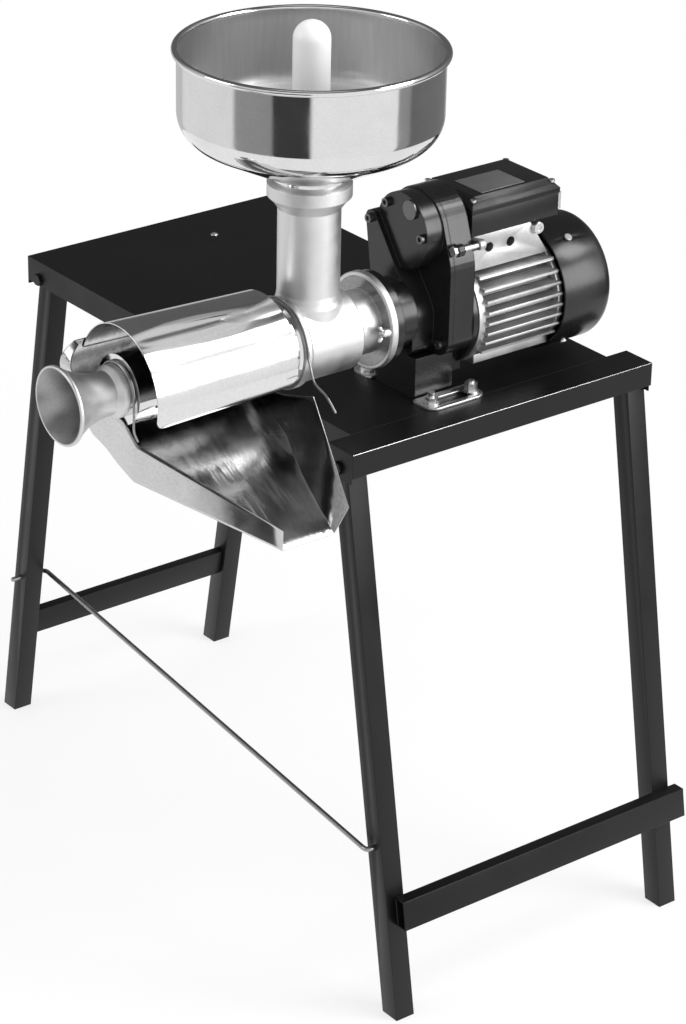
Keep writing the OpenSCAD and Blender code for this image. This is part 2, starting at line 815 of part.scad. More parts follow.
// Front cover: a snout round the output shaft, reaching up to a bolt lug, and a round lobe above
module gear_cover() {
    color("#141415")
        difference() {
            union() {
                along_y(split_y - 6, split_y)
                    case_outline();
                along_y(cover_y + 7, split_y - 5)
                    translate([press_x + 2, axis_z + lobe_z])
                        circle(r = lobe_r - 2, $fn = 96);
                along_y(cover_y, split_y - 4)
                    translate([press_x, axis_z])
                        hull() {
                            translate([0, -4])
                                circle(r = 34);
                            for (side = [-1, 1])
                                translate([side * 21, -32])
                                    circle(r = 12);
                            translate(lug)
                                circle(r = 9);
                        }
                turned_y(boss_y, press_x, axis_z)
                    polygon([[0, 0], [flange_r - 2, 0], [flange_r - 2, 11], [boss_r, 13], [boss_r, boss_l + 2],
                        [0, boss_l + 2]]);
            }
            rod_y(shaft_hole_r, boss_y - 1, split_y + 1, press_x, axis_z);
            rod_y(journal_r + run_gap, split_y - 14, split_y + 1, press_x, lay_z);
            for (s = [0, 1]) {
                p = screw_at(s);
                rod_y(4.05, boss_y - 1, boss_y + 12, p[0], p[1]);
            }
            rod_y(8.1, cover_y + 6, cover_y + 15, press_x + plug_side, axis_z + plug_rise);
            for (p = bolt_points)
                rod_y(3.1, bolt_face(p) - 1, split_y + 1, p[0], p[1]);
        }
}

ear = [case_w, 93];
ear_r = 7;

bolt_points = [[press_x + lug[0], axis_z + lug[1]], [press_x + 37, axis_z + 95], [press_x - 24, axis_z + 119],
    [press_x - 46, axis_z - 30], [press_x + 46, axis_z - 30]];

// Front face under a cover bolt: the plate, the lug or the lobe
function bolt_face(p) = p[1] < axis_z ? split_y - 6 : p[0] < press_x - 40 ? cover_y : cover_y + 7;

// Rear end of a cover bolt: the lug's bolt stops in the cover
function bolt_end(p) = p[0] < press_x - 40 && p[1] > axis_z ? split_y - 4 : split_y + 10;

module gear_case() {
    color("#171718")
        difference() {
            union() {
                along_y(split_y, case_y)
                    case_outline();
                for (side = [-1, 1])
                    rod_y(ear_r, split_y, split_y + 8, press_x + side * ear[0], motor_z + ear[1]);
                rod_y(motor_r + 3, case_y - eps, motor_y, press_x, motor_z);
                block(press_x - 35, press_x + 35, cover_y + 4, case_y - 6, table_h, axis_z - 46);
                block(press_x - 35, press_x + 35, split_y, case_y - 6, axis_z - 46 - eps, axis_z - 40);
                block(press_x - 33, press_x + 33, case_y - 6 - eps, motor_y, table_h + 21, axis_z - 40);
            }
            along_y(split_y - 1, case_y - 3) {
                translate([press_x, lay_z])
                    circle(r = wheel_m * (wheel_teeth / 2 + addendum) + 1, $fn = 96);
                translate([press_x, axis_z])
                    circle(r = out_m * (out_teeth / 2 + addendum) + 1, $fn = 96);
            }
            rod_y(journal_r + run_gap, case_y - 4, case_y + 4, press_x, lay_z);
            rod_y(shaft_r + run_gap, case_y - 4, motor_y + 1, press_x, motor_z);
            for (p = bolt_points)
                if (bolt_end(p) > split_y)
                    rod_y(3.1, split_y - 1, split_y + 11, p[0], p[1]);
            for (side = [-1, 1])
                rod_y(3.1, split_y - 1, split_y + 9, press_x + side * ear[0], motor_z + ear[1]);
        }
}

module oil_plug() {
    color("#3a3a3b") {
        rod_y(8, cover_y + 7, cover_y + 15, press_x + plug_side, axis_z + plug_rise);
        rod_y(11, cover_y + 4, cover_y + 7, press_x + plug_side, axis_z + plug_rise);
    }
}

module cover_bolts() {
    color("#4a4a4a")
        for (p = bolt_points) {
            y = bolt_face(p);
            rod_y(3, y - eps, bolt_end(p), p[0], p[1]);
            difference() {
                rod_y(5.2, y - 5, y, p[0], p[1]);
                hex_y(5, y - 6, y - 2, p[0], p[1]);
            }
        }
}

// Long bolts from the ears of the case to the ears of the motor's front shield
module through_bolts() {
    color("#c2c2c0")
        for (side = [-1, 1]) {
            x = press_x + side * ear[0];
            z = motor_z + ear[1];
            rod_y(3, split_y - eps, motor_y + 9, x, z);
            hex_y(10, split_y - 5, split_y, x, z);
        }
}

module output_gear() {
    color("#8f8f8c") {
        gear_wheel(out_m, out_teeth, 90 + 180 / out_teeth, out_wheel_y, wheel_w, axis_z);
        rod_y(out_r, boss_y, out_wheel_y + eps, press_x, axis_z);
    }
}

module layshaft() {
    color("#9c9c99") {
        gear_wheel(wheel_m, wheel_teeth, 90, wheel_y, wheel_w, lay_z);
        gear_wheel(out_m, lay_teeth, -90, out_wheel_y - 1, wheel_y - out_wheel_y + 1 + eps, lay_z);
        rod_y(journal_r, split_y - 13.5, out_wheel_y - 1 + eps, press_x, lay_z);
        rod_y(journal_r, wheel_y + wheel_w - eps, case_y + 3, press_x, lay_z);
    }
}

// Slotted foot plates on the table, beside the foot block
plate_l = 82;
plate_w = 40;
plate_t = 3.5;
slot_l = 48;

module foot_plate() {
    difference() {
        block(0, plate_w, 0, plate_l, 0, plate_t);
        hull()
            for (y = [14, 14 + slot_l - 9])
                translate([plate_w - 18, y, -1])
                    cylinder(r = 4.5, h = plate_t + 2, $fn = 32);
        translate([plate_w - 18, plate_l - 12, -1])
            cylinder(r = 4.5, h = plate_t + 2);
    }
}

module foot_plates() {
    color("#b5b5b2")
        for (side = [-1, 1])
            translate([press_x, cover_y - 4, table_h])
                mirror([side < 0 ? 1 : 0, 0, 0])
                    translate([35, 0, 0])
                        foot_plate();
}

module foot_bolts() {
    bx = 35 + plate_w - 18;
    color("#c9c9c7")
        for (side = [-1, 1], y = [14, plate_l - 12])
            translate([press_x + side * bx, cover_y - 4 + y, table_h + plate_t]) {
                cylinder(r = 9, h = 1.6);
                translate([0, 0, 1.6])
                    hex_z(13, y > 20 ? 9 : 6);
                translate([0, 0, -plate_t])
                    cylinder(r = 3.9, h = plate_t + 13);
            }
}

// Motor

pad_z0 = 24;
pad_z1 = 46;

// Housing section: round body with level fins on both sides, a flat pad and short fins below
module housing_2d() {
    difference() {
        union() {
            circle(r = motor_r, $fn = 96);
            intersection() {
                circle(r = fin_r, $fn = 96);
                union() {
                    for (z = [-60:fin_pitch:20])
                        translate([-fin_r, z - fin_t / 2])
                            square([2 * fin_r, fin_t]);
                    for (x = [-34:fin_pitch:36])
                        translate([x - fin_t / 2, -fin_r])
                            square([fin_t, fin_r]);
                }
            }
            translate([-fin_r + 8, pad_z0])
                square([2 * (fin_r - 8), pad_z1 - pad_z0]);
        }
        circle(r = motor_r - 6, $fn = 96);
    }
}

module motor_housing() {
    color("#c6c7c6")
        translate([press_x, 0, motor_z])
            difference() {
                union() {
                    along_y(motor_y, cowl_y - 2 - tiny)
                        housing_2d();
                    rod_y(motor_r, motor_y, motor_y + 6, 0, 0);
                    rod_y(cowl_r - 8, cowl_y - 6, cowl_y, 0, 0);
                    rod_y(15, cowl_y - eps, cowl_y + 8, 0, 0);
                    for (a = screw_angles)
                        rotate([0, a, 0])
                            block(-6, 6, cowl_y - 6, screw_y + 7, cowl_r - 12, cowl_r - 2 - tiny);
                    for (side = [-1, 1])
                        hull() {
                            rod_y(ear_r, motor_y, motor_y + 9, side * ear[0], ear[1]);
                            rod_y(ear_r, motor_y, motor_y + 9, side * (ear[0] - 12), 38);
                        }
                }
                rod_y(shaft_r + run_gap, motor_y - 1, cowl_y + 9, 0, 0);
                for (side = [-1, 1])
                    rod_y(3.1, motor_y - 1, motor_y + 10, side * ear[0], ear[1]);
                for (a = screw_angles)
                    rotate([0, a, 0])
                        translate([0, screw_y, cowl_r - 13])
                            cylinder(r = 2.5, h = 12);
                for (y = [18, 44], side = [-1, 1])
                    translate([side * (fin_r - 12), motor_y + y, (pad_z0 + pad_z1) / 2])
                        rotate([0, 90, 0])
                            translate([0, 0, -6])
                                cylinder(r = 5.5, h = 12);
            }
}

stator_y = motor_y + 24;
stator_l = 64;
rotor_r = 32;

module stator_core() {
    slots = 24;
    color("#77777a")
        along_y(stator_y, stator_y + stator_l)
            translate([press_x, motor_z])
                difference() {
                    circle(r = motor_r - 6.1, $fn = 96);
                    circle(r = rotor_r + 0.5, $fn = 96);
                    for (i = [0:slots - 1])
                        rotate(i * 360 / slots)
                            translate([rotor_r + 3, -1.6])
                                square([9, 3.2]);
                }
}

module windings() {
    color("#a5602c")
        for (y = [stator_y - 14, stator_y + stator_l])
            turned_y(y, press_x, motor_z)
                polygon([[rotor_r + 4, 0.1], [rotor_r + 14, 0.1], [rotor_r + 17, 4], [rotor_r + 17, 10],
                    [rotor_r + 14, 14], [rotor_r + 4, 14], [rotor_r + 2, 10], [rotor_r + 2, 4]]);
}

module rotor_core() {
    color("#8a8a8d")
        difference() {
            rod_y(rotor_r, stator_y - 4, stator_y + stator_l + 4, press_x, motor_z);
            rod_y(shaft_r, stator_y - 5, stator_y + stator_l + 5, press_x, motor_z);
        }
}

module motor_shaft() {
    color("#a9a9a7") {
        gear_wheel(wheel_m, motor_teeth, 90 + 180 / motor_teeth, wheel_y - 0.5, wheel_w + 1, motor_z);
        rod_y(shaft_r, wheel_y + wheel_w, cowl_y + 42, press_x, motor_z);
    }
}

fan_y = cowl_y + fan_gap;

module cooling_fan() {
    color("#202022")
        difference() {
            union() {
                rod_y(16, fan_y, fan_y + 24, press_x, motor_z);
                rod_y(56, fan_y, fan_y + 2.5, press_x, motor_z);
                for (i = [0:fan_blades - 1])
                    translate([press_x, 0, motor_z])
                        rotate([0, i * 360 / fan_blades, 0])
                            block(12, 60, fan_y, fan_y + 24, -1.2, 1.2);
            }
            rod_y(shaft_r, fan_y - 1, fan_y + 25, press_x, motor_z);
        }
}

module fan_cover() {
    t = 2;
    round_r = 14;
    slots = 16;
    y1 = cowl_y + cowl_l;
    color("#121213")
        difference() {
            turned_y(cowl_y - 2, press_x, motor_z)
                polygon(concat(
                    [[cowl_r, 0]],
                    arc(cowl_r - round_r, cowl_l + 2 - round_r, round_r, 0, 90, 8),
                    [[0, cowl_l + 2], [0, cowl_l + 2 - t]],
                    arc(cowl_r - round_r, cowl_l + 2 - round_r, round_r - t, 90, 0, 8),
                    [[cowl_r - t, 0]]
                ));
            for (i = [0:slots - 1], ring = [0, 1])
                translate([press_x, 0, motor_z])
                    rotate([0, (i + ring / 2) * 360 / slots, 0])
                        block(ring == 0 ? 13 : 34, ring == 0 ? 31 : 54, y1 - 3, y1 + 1, -1.8 - ring, 1.8 + ring);
            for (a = screw_angles)
                translate([press_x, screw_y, motor_z])
                    rotate([0, a, 0])
                        translate([0, 0, cowl_r - 5])
                            cylinder(r = 2.6, h = 8);
        }
}

screw_angles = [33, 147, 213, 327];
screw_y = cowl_y + 26;

// Screws that hold the fan cover to four ears of the rear shield
module cover_screws() {
    color("#b0b0ae")
        for (a = screw_angles)
            translate([press_x, screw_y, motor_z])
                rotate([0, a, 0]) {
                    translate([0, 0, cowl_r - 10])
                        cylinder(r = 2.4, h = 10 + tiny);
                    translate([0, 0, cowl_r + tiny / 2])
                        cylinder(r = 4.5, h = 2.4);
                }
}

box_z = motor_z + box_rise;
box_y = motor_y - 1;

module terminal_box() {
    x = box_w / 2;
    color("#131314")
        difference() {
            union() {
                translate([press_x, box_y, 0])
                    block(-x, x, 0, box_l, box_z, box_z + box_h);
                translate([press_x, box_y, 0])
                    block(-x + 15, x - 15, 16, box_l - 16, motor_z + motor_r - 8, box_z + eps);
            }
            translate([press_x, box_y, 0])
                block(-x + 3, x - 3, 3, box_l - 3, box_z + 3, box_z + box_h + 1);
            rod_y(motor_r + 0.1, motor_y - 2, cowl_y + 2, press_x, motor_z);
            rod_y(8.2, box_y + box_l - 4, box_y + box_l + 1, press_x - 22, box_z + box_h / 2);
            block(press_x + rocker_x - rocker_w - tiny, press_x + rocker_x + rocker_w + tiny,
                box_y + box_l - 4, box_y + box_l + 1, rocker_z - rocker_r - tiny, rocker_z + rocker_r + tiny);
        }
}

module terminal_lid() {
    x = box_w / 2;
    rim = 6;
    bevel = 9;
    z0 = box_z + box_h;
    color("#101011")
        difference() {
            hull() {
                block(press_x - x - 1, press_x + x + 1, box_y - 1, box_y + box_l + 1, z0, z0 + rim);
                block(press_x - x + bevel, press_x + x - bevel, box_y + bevel, box_y + box_l - bevel, z0, z0 + lid_h);
            }
            for (p = lid_corners)
                translate([p[0], p[1], z0 - 1]) {
                    cylinder(r = 2.1, h = lid_h + 2);
                    translate([0, 0, lid_h - 3.5])
                        cylinder(r = 3.9, h = lid_h);
                }
            block(press_x - x + 14, press_x + x - 14, box_y + 14, box_y + box_l - 14, z0 - 1, z0 + lid_h - 3);
        }
}

lid_corners = [for (side = [-1, 1], y = [6, box_l - 6]) [press_x + side * (box_w / 2 - 6), box_y + y]];

module lid_screws() {
    z0 = box_z + box_h;
    color("#bdbdbb")
        for (p = lid_corners)
            translate([p[0], p[1], z0]) {
                cylinder(r = 2, h = lid_h - 4);
                translate([0, 0, lid_h - 4.5])
                    cylinder(r = 3.6, h = 2.5);
            }
}

module label_plate() {
    color("#3c3c3e")
        block(press_x + box_w / 2 - 58, press_x + box_w / 2 - 12, box_y + 22, box_y + 84,
            box_z + box_h + lid_h, box_z + box_h + lid_h + 0.8);
}

// Rocker under a clear boot on the rear face of the terminal box
rocker_x = 27;
rocker_w = 6;
rocker_r = 5;
rocker_y = box_y + box_l;
rocker_z = box_z + 13;

module switch_rocker() {
    color("#e9e9e6")
        translate([press_x + rocker_x - rocker_w, rocker_y - 1, rocker_z])
            rotate([90, 0, 90])
                linear_extrude(2 * rocker_w)
                    union() {
                        circle(r = rocker_r);
                        polygon([[0, -rocker_r + 0.5], [6, -rocker_r + 1], [4, 0], [6, rocker_r - 1],
                            [0, rocker_r - 0.5]]);
                    }
}

module switch_boot() {
    t = 1.2;
    color("#cfd6da")
        difference() {
            block(press_x + 16, press_x + 38, rocker_y, rocker_y + 10, rocker_z - 10, rocker_z + 10);
            block(press_x + 16 + t, press_x + 38 - t, rocker_y - 1, rocker_y + 10 - t,
                rocker_z - 10 + t, rocker_z + 10 - t);
        }
}

module cable_gland() {
    z = box_z + box_h / 2;
    y = box_y + box_l;
    color("#1c1c1d")
        difference() {
            union() {
                rod_y(8, y - 3, y, press_x - 22, z);
                hex_y(20, y, y + 6, press_x - 22, z);
                rod_y(8.5, y + 6, y + 16, press_x - 22, z);
            }
            rod_y(4, y - 4, y + 17, press_x - 22, z);
        }
}

table_panel();
end_channel();
leg_front_left();
leg_rear_left();
leg_front_right();
leg_rear_right();
leg_plugs();
stretcher_left();
stretcher_right();
tie_rod();
pivot_bolts();
table_rivet();
press_body();
wing_screw_right();
wing_screw_left();
hopper();
pusher();
auger();
strainer();
waste_funnel();
splash_guard();
drip_chute();
clip_front();
clip_rear();
gear_cover();
gear_case();
oil_plug();
cover_bolts();
through_bolts();
output_gear();
layshaft();
foot_plates();
foot_bolts();
motor_housing();
stator_core();
windings();
rotor_core();
motor_shaft();
cooling_fan();
fan_cover();
cover_screws();
terminal_box();
terminal_lid();
lid_screws();
label_plate();
switch_rocker();
switch_boot();
cable_gland();
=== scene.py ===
"""Electric tomato press on its stand: the looks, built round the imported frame."""
import json
import math

import bmesh
import bpy
from mathutils import Euler, Matrix, Vector


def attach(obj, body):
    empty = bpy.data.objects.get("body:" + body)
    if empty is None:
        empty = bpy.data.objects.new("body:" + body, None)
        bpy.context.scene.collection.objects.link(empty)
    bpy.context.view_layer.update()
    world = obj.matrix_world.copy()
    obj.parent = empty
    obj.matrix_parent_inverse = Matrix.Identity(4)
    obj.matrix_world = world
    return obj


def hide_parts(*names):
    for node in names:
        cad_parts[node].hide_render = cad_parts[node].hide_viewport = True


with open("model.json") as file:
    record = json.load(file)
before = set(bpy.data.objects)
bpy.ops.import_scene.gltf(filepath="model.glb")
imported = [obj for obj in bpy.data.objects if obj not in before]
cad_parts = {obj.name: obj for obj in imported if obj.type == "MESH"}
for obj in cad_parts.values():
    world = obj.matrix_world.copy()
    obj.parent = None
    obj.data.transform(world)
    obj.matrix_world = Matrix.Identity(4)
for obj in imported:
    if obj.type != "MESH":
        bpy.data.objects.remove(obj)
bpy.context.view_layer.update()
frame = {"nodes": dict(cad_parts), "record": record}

scene = bpy.context.scene
MM = 0.001

# The CAD source's axes in millimetres: press and motor lie at one X, at their own heights
PRESS = 230
AXIS = 761
MOTOR = 750

# The CAD source's stations in metres
PRESS_X = PRESS * MM
AXIS_Z = AXIS * MM
MOTOR_Z = MOTOR * MM
MOUTH_Y = -0.369
NECK_Y = -0.049
NECK_Z = 0.938
FLANGE_Y = 0.025

# A radius below this lies on the axis
ON_AXIS = 1e-7

SLOT_OF = {s["node"]: s["material_slot"] for s in frame["record"]["subparts"]}
BODY_OF = {n: b for b, ns in frame["record"]["behaviour"]["bodies"].items() for n in ns}


# Materials

# What one noise texture really reaches, and what the sum of two reaches
NOISE_SPAN = (0.35, 0.65)
TWO_NOISES_SPAN = (0.7, 1.3)

# Dust on paint: how close the specks lie, how large and how grey each is
DUST_SCALE = 210.0
DUST_SPOT = 0.05
DUST_GREY = (0.3, 0.3, 0.3, 1)

# Share of a sheet's waves that stays where the sheet is calm
CALM = 0.12


def link(tree, a, a_out, b, b_in):
    """Wire one node's output to another's input."""
    tree.links.new(a.outputs[a_out], b.inputs[b_in])


def add(tree, kind, **values):
    """A shader node with its properties and input sockets set by name."""
    made = tree.nodes.new(kind)
    for key, value in values.items():
        if hasattr(made, key):
            setattr(made, key, value)
        else:
            made.inputs[key.replace("_", " ")].default_value = value
    return made


def surface(name, dark, light, rough, metallic=0.0, grain=600.0, grain_depth=0.00005, patch=18.0,
            stretch=(1, 1, 1), wave=0.0, wave_scale=14.0, wave_stretch=(1, 1, 1), wave_from=None, edge=0.0007,
            specular=0.5, transmission=0.0, speck=0.0):
    """Procedural finish: colour and roughness wander in patches, over fine grain, waves and rounded edges.

    The waves grow with height between the two values of wave_from, where it is given.
    """
    mat = bpy.data.materials.new(name)
    mat.use_nodes = True
    tree = mat.node_tree
    tree.nodes.clear()
    out = add(tree, "ShaderNodeOutputMaterial")
    bsdf = add(tree, "ShaderNodeBsdfPrincipled")
    bsdf.inputs["Metallic"].default_value = metallic
    bsdf.inputs["Specular IOR Level"].default_value = specular
    bsdf.inputs["Transmission Weight"].default_value = transmission
    link(tree, bsdf, "BSDF", out, "Surface")
    coord = add(tree, "ShaderNodeTexCoord")
    mapping = add(tree, "ShaderNodeMapping")
    mapping.inputs["Scale"].default_value = stretch
    link(tree, coord, "Object", mapping, "Vector")

    patches = add(tree, "ShaderNodeTexNoise", Scale=patch, Detail=6.0, Roughness=0.6)
    link(tree, coord, "Object", patches, "Vector")
    fine = add(tree, "ShaderNodeTexNoise", Scale=grain, Detail=3.0, Roughness=0.6)
    link(tree, mapping, "Vector", fine, "Vector")

    blend = add(tree, "ShaderNodeMath", operation="ADD")
    link(tree, patches, "Fac", blend, 0)
    link(tree, fine, "Fac", blend, 1)
    tone = add(tree, "ShaderNodeMapRange")
    tone.inputs["From Min"].default_value = TWO_NOISES_SPAN[0]
    tone.inputs["From Max"].default_value = TWO_NOISES_SPAN[1]
    link(tree, blend, "Value", tone, "Value")
    colour = add(tree, "ShaderNodeMix", data_type="RGBA")
    colour.inputs[6].default_value = (*dark, 1)
    colour.inputs[7].default_value = (*light, 1)
    link(tree, tone, "Result", colour, 0)
    last = (colour, 2)
    if speck:
        dust = add(tree, "ShaderNodeTexVoronoi", Scale=DUST_SCALE)
        link(tree, coord, "Object", dust, "Vector")
        spot = add(tree, "ShaderNodeMapRange")
        spot.inputs["From Min"].default_value = DUST_SPOT
        spot.inputs["From Max"].default_value = 0.0
        spot.inputs["To Max"].default_value = speck
        link(tree, dust, "Distance", spot, "Value")
        dusty = add(tree, "ShaderNodeMix", data_type="RGBA")
        dusty.inputs[7].default_value = DUST_GREY
        tree.links.new(colour.outputs[2], dusty.inputs[6])
        link(tree, spot, "Result", dusty, 0)
        last = (dusty, 2)
    tree.links.new(last[0].outputs[last[1]], bsdf.inputs["Base Color"])

    gloss = add(tree, "ShaderNodeMapRange")
    gloss.inputs["From Min"].default_value = NOISE_SPAN[0]
    gloss.inputs["From Max"].default_value = NOISE_SPAN[1]
    gloss.inputs["To Min"].default_value = rough[0]
    gloss.inputs["To Max"].default_value = rough[1]
    link(tree, patches, "Fac", gloss, "Value")
    link(tree, gloss, "Result", bsdf, "Roughness")

    bump = add(tree, "ShaderNodeBump")
    bump.inputs["Strength"].default_value = 1.0
    bump.inputs["Distance"].default_value = grain_depth
    link(tree, fine, "Fac", bump, "Height")
    if edge:
        rounded = add(tree, "ShaderNodeBevel", samples=4)
        rounded.inputs["Radius"].default_value = edge
        link(tree, rounded, "Normal", bump, "Normal")
    normal = bump
    if wave:
        slow = add(tree, "ShaderNodeTexNoise", Scale=wave_scale, Detail=2.0, Roughness=0.5)
        long_way = add(tree, "ShaderNodeMapping")
        long_way.inputs["Scale"].default_value = wave_stretch
        link(tree, coord, "Object", long_way, "Vector")
        link(tree, long_way, "Vector", slow, "Vector")
        swell = add(tree, "ShaderNodeBump")
        swell.inputs["Strength"].default_value = 1.0
        swell.inputs["Distance"].default_value = wave
        link(tree, bump, "Normal", swell, "Normal")
        link(tree, slow, "Fac", swell, "Height")
        if wave_from:
            where = add(tree, "ShaderNodeSeparateXYZ")
            link(tree, coord, "Object", where, "Vector")
            grow = add(tree, "ShaderNodeMapRange")
            grow.inputs["From Min"].default_value = wave_from[0]
            grow.inputs["From Max"].default_value = wave_from[1]
            grow.inputs["To Min"].default_value = CALM
            link(tree, where, "Z", grow, "Value")
            link(tree, grow, "Result", swell, "Strength")
        normal = swell
    link(tree, normal, "Normal", bsdf, "Normal")
    return mat


def grey(v):
    """Neutral colour."""
    return (v, v, v)


MATERIALS = {
    "black_paint": surface("black_paint", grey(0.004), grey(0.008), (0.3, 0.44), grain=900,
                           grain_depth=0.00003, patch=9, edge=0.0012, specular=0.26),
    "black_plastic": surface("black_plastic", grey(0.006), grey(0.010), (0.28, 0.4), grain=1400,
                             grain_depth=0.00003, edge=0.0012, specular=0.4),
    "polished_steel": surface("polished_steel", grey(0.70), grey(0.78), (0.05, 0.11), 1.0, grain=500,
                              grain_depth=0.000002, patch=30, wave=0.0003, wave_scale=14, edge=0),
    "bright_steel": surface("bright_steel", grey(0.5), grey(0.62), (0.2, 0.34), 1.0, grain=900,
                            grain_depth=0.00001, edge=0.0005),
    "zinc": surface("zinc", grey(0.66), grey(0.82), (0.24, 0.4), 1.0, grain=800, grain_depth=0.00002,
                    patch=60, edge=0.0006),
    "cast_aluminium": surface("cast_aluminium", grey(0.66), grey(0.76), (0.4, 0.52), 1.0, grain=750,
                              grain_depth=0.00007, patch=26, edge=0.0014),
    "dark_steel": surface("dark_steel", grey(0.12), grey(0.2), (0.3, 0.45), 1.0, grain=800,
                          grain_depth=0.00004, edge=0.0006),
    "copper_winding": surface("copper_winding", (0.3, 0.12, 0.05), (0.5, 0.22, 0.09), (0.3, 0.5), 0.6,
                              grain=300, grain_depth=0.0003),
    "white_plastic": surface("white_plastic", grey(0.90), grey(0.94), (0.3, 0.42), grain=500,
                             grain_depth=0.00002, edge=0.001),
    "clear_rubber": surface("clear_rubber", grey(0.6), grey(0.75), (0.2, 0.3), grain=400, grain_depth=0.00003,
                            transmission=0.5, edge=0.001),
    "label_grey": surface("label_grey", grey(0.13), grey(0.19), (0.3, 0.4), 0.4, grain=900,
                          grain_depth=0.00002, edge=0.0004),
}

# Finishes, and painted light, shade and highlights, that only some pieces, or some sides of a piece, have
PAINTED_TOP = surface("black_paint_dusty", grey(0.004), grey(0.008), (0.34, 0.5), grain=900,
                      grain_depth=0.00003, patch=7, edge=0, specular=0.26, speck=0.3)
# Inside of the hopper: satin, and darker than its outside as painted shade
SATIN_SHADED_STEEL = surface("polished_steel_satin_shaded", grey(0.52), grey(0.60), (0.27, 0.33), 0.95, grain=220,
                      grain_depth=0.000004, patch=3, stretch=(1, 1, 0.1), edge=0)
# Hopper's inner floor: paler and less metallic than the inside wall, as painted light
FLOOR_STEEL_LIT = surface("polished_steel_floor_lit", grey(0.74), grey(0.82), (0.4, 0.48), 0.55, grain=220,
                     grain_depth=0.000004, patch=5, edge=0)
GUARD_STEEL = surface("polished_steel_guard", grey(0.72), grey(0.8), (0.07, 0.13), 1.0, grain=300,
                      grain_depth=0.000003, patch=12, wave=0.0010, wave_scale=26, wave_stretch=(1, 0.12, 1),
                      wave_from=(0.785, 0.815), edge=0)
CHUTE_STEEL = surface("polished_steel_chute", grey(0.56), grey(0.66), (0.10, 0.2), 1.0, grain=400,
                      grain_depth=0.000004, patch=20, wave=0.00035, wave_scale=34,
                      wave_stretch=(0.35, 1.3, 0.35), edge=0)
# Inner faces of the guard and the chute: darker steel as painted shade
STEEL_INSIDE_SHADE = surface("polished_steel_shaded_inner", grey(0.26), grey(0.38), (0.12, 0.24), 1.0, grain=400,
                      grain_depth=0.000004, patch=16, wave=0.0009, wave_scale=40,
                      wave_stretch=(0.25, 1.5, 0.25), edge=0)
CLIP_STEEL = surface("bright_steel_clip", grey(0.3), grey(0.4), (0.26, 0.38), 1.0, grain=700,
                     grain_depth=0.00001, patch=60, edge=0)
# Painted highlight: a bright, nearly metal finish for the channel's outer top edge
EDGE_HIGHLIGHT = surface("black_paint_painted_highlight", grey(0.3), grey(0.56), (0.26, 0.36), 0.9, grain=500,
                    grain_depth=0.00003, patch=60, edge=0)
# Inside of the waste funnel's bore: darker cast as painted shade
SHADED_CAST = surface("cast_aluminium_inside", grey(0.34), grey(0.46), (0.36, 0.5), 1.0, grain=500,
                    grain_depth=0.00012, patch=24, edge=0)
# Flange face: smoother, like a machined face, and dark as painted shade in the recess
FACED_AND_SHADED = surface("cast_aluminium_shaded_face", grey(0.22), grey(0.34), (0.16, 0.28), 1.0, grain=300,
                   grain_depth=0.00001, patch=20, edge=0)
MOTOR_CAST = surface("cast_aluminium_motor", grey(0.47), grey(0.6), (0.4, 0.54), 1.0, grain=700,
                     grain_depth=0.0001, patch=40, edge=0)
# Between the motor's fins and in the pad's bores: darker cast as painted shade
VALLEY_SHADE_CAST = surface("cast_aluminium_shaded_valley", grey(0.16), grey(0.3), (0.5, 0.62), 1.0, grain=500,
                      grain_depth=0.0001, patch=40, edge=0)
GLOSS_BLACK = surface("black_paint_gloss", grey(0.006), grey(0.010), (0.2, 0.3), grain=500,
                      grain_depth=0.00004, patch=12, wave=0.0003, wave_scale=20, edge=0.0016)

LOOK = {"table_panel": PAINTED_TOP, "end_channel": PAINTED_TOP, "motor_housing": MOTOR_CAST,
        "gear_cover": GLOSS_BLACK, "gear_case": GLOSS_BLACK, "fan_cover": GLOSS_BLACK,
        "pivot_bolts": MATERIALS["black_paint"]}


def paint(obj, mat):
    """Give every slot of an object one finish."""
    if not obj.material_slots:
        obj.data.materials.append(mat)
    for s in obj.material_slots:
        s.material = mat


for node_name, node_obj in frame["nodes"].items():
    paint(node_obj, LOOK.get(node_name, MATERIALS[SLOT_OF[node_name]]))


# Piece making

def piece(name, mesh, body, slot, nodes=(), mat=None, sharp=32):
    """Put a finished mesh in the scene as a piece that rides on a body and stands for CAD nodes."""
    obj = bpy.data.objects.new(name, mesh)
    scene.collection.objects.link(obj)
    mesh.shade_smooth()
    mesh.set_sharp_from_angle(angle=math.radians(sharp))
    if not mesh.materials:
        mesh.materials.append(mat or MATERIALS[slot])
    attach(obj, body)
    if nodes:
        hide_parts(*nodes)
    return obj


def applied(name, mesh, modify):
    """Mesh with the modifiers applied that modify(obj) adds."""
    obj = bpy.data.objects.new(name + "_work", mesh)
    scene.collection.objects.link(obj)
    modify(obj)
    depsgraph = bpy.context.evaluated_depsgraph_get()
    done = bpy.data.meshes.new_from_object(obj.evaluated_get(depsgraph))
    bpy.data.objects.remove(obj)
    bpy.data.meshes.remove(mesh)
    done.name = name
    return done


def baked(name, bm, modify=None):
    """Mesh of a bmesh, its normals outwards, with the modifiers applied that modify(obj) adds."""
    mesh = bpy.data.meshes.new(name)
    bmesh.ops.recalc_face_normals(bm, faces=bm.faces)
    bm.to_mesh(mesh)
    bm.free()
    return applied(name, mesh, modify) if modify else mesh


def rounding(width, segments=2, angle=30):
    """What rounds every edge sharper than an angle, to hand to baked."""
    def modify(obj):
        m = obj.modifiers.new("edges", "BEVEL")
        m.width = width
        m.segments = segments
        m.limit_method = "ANGLE"
        m.angle_limit = math.radians(angle)
        m.use_clamp_overlap = True
    return modify


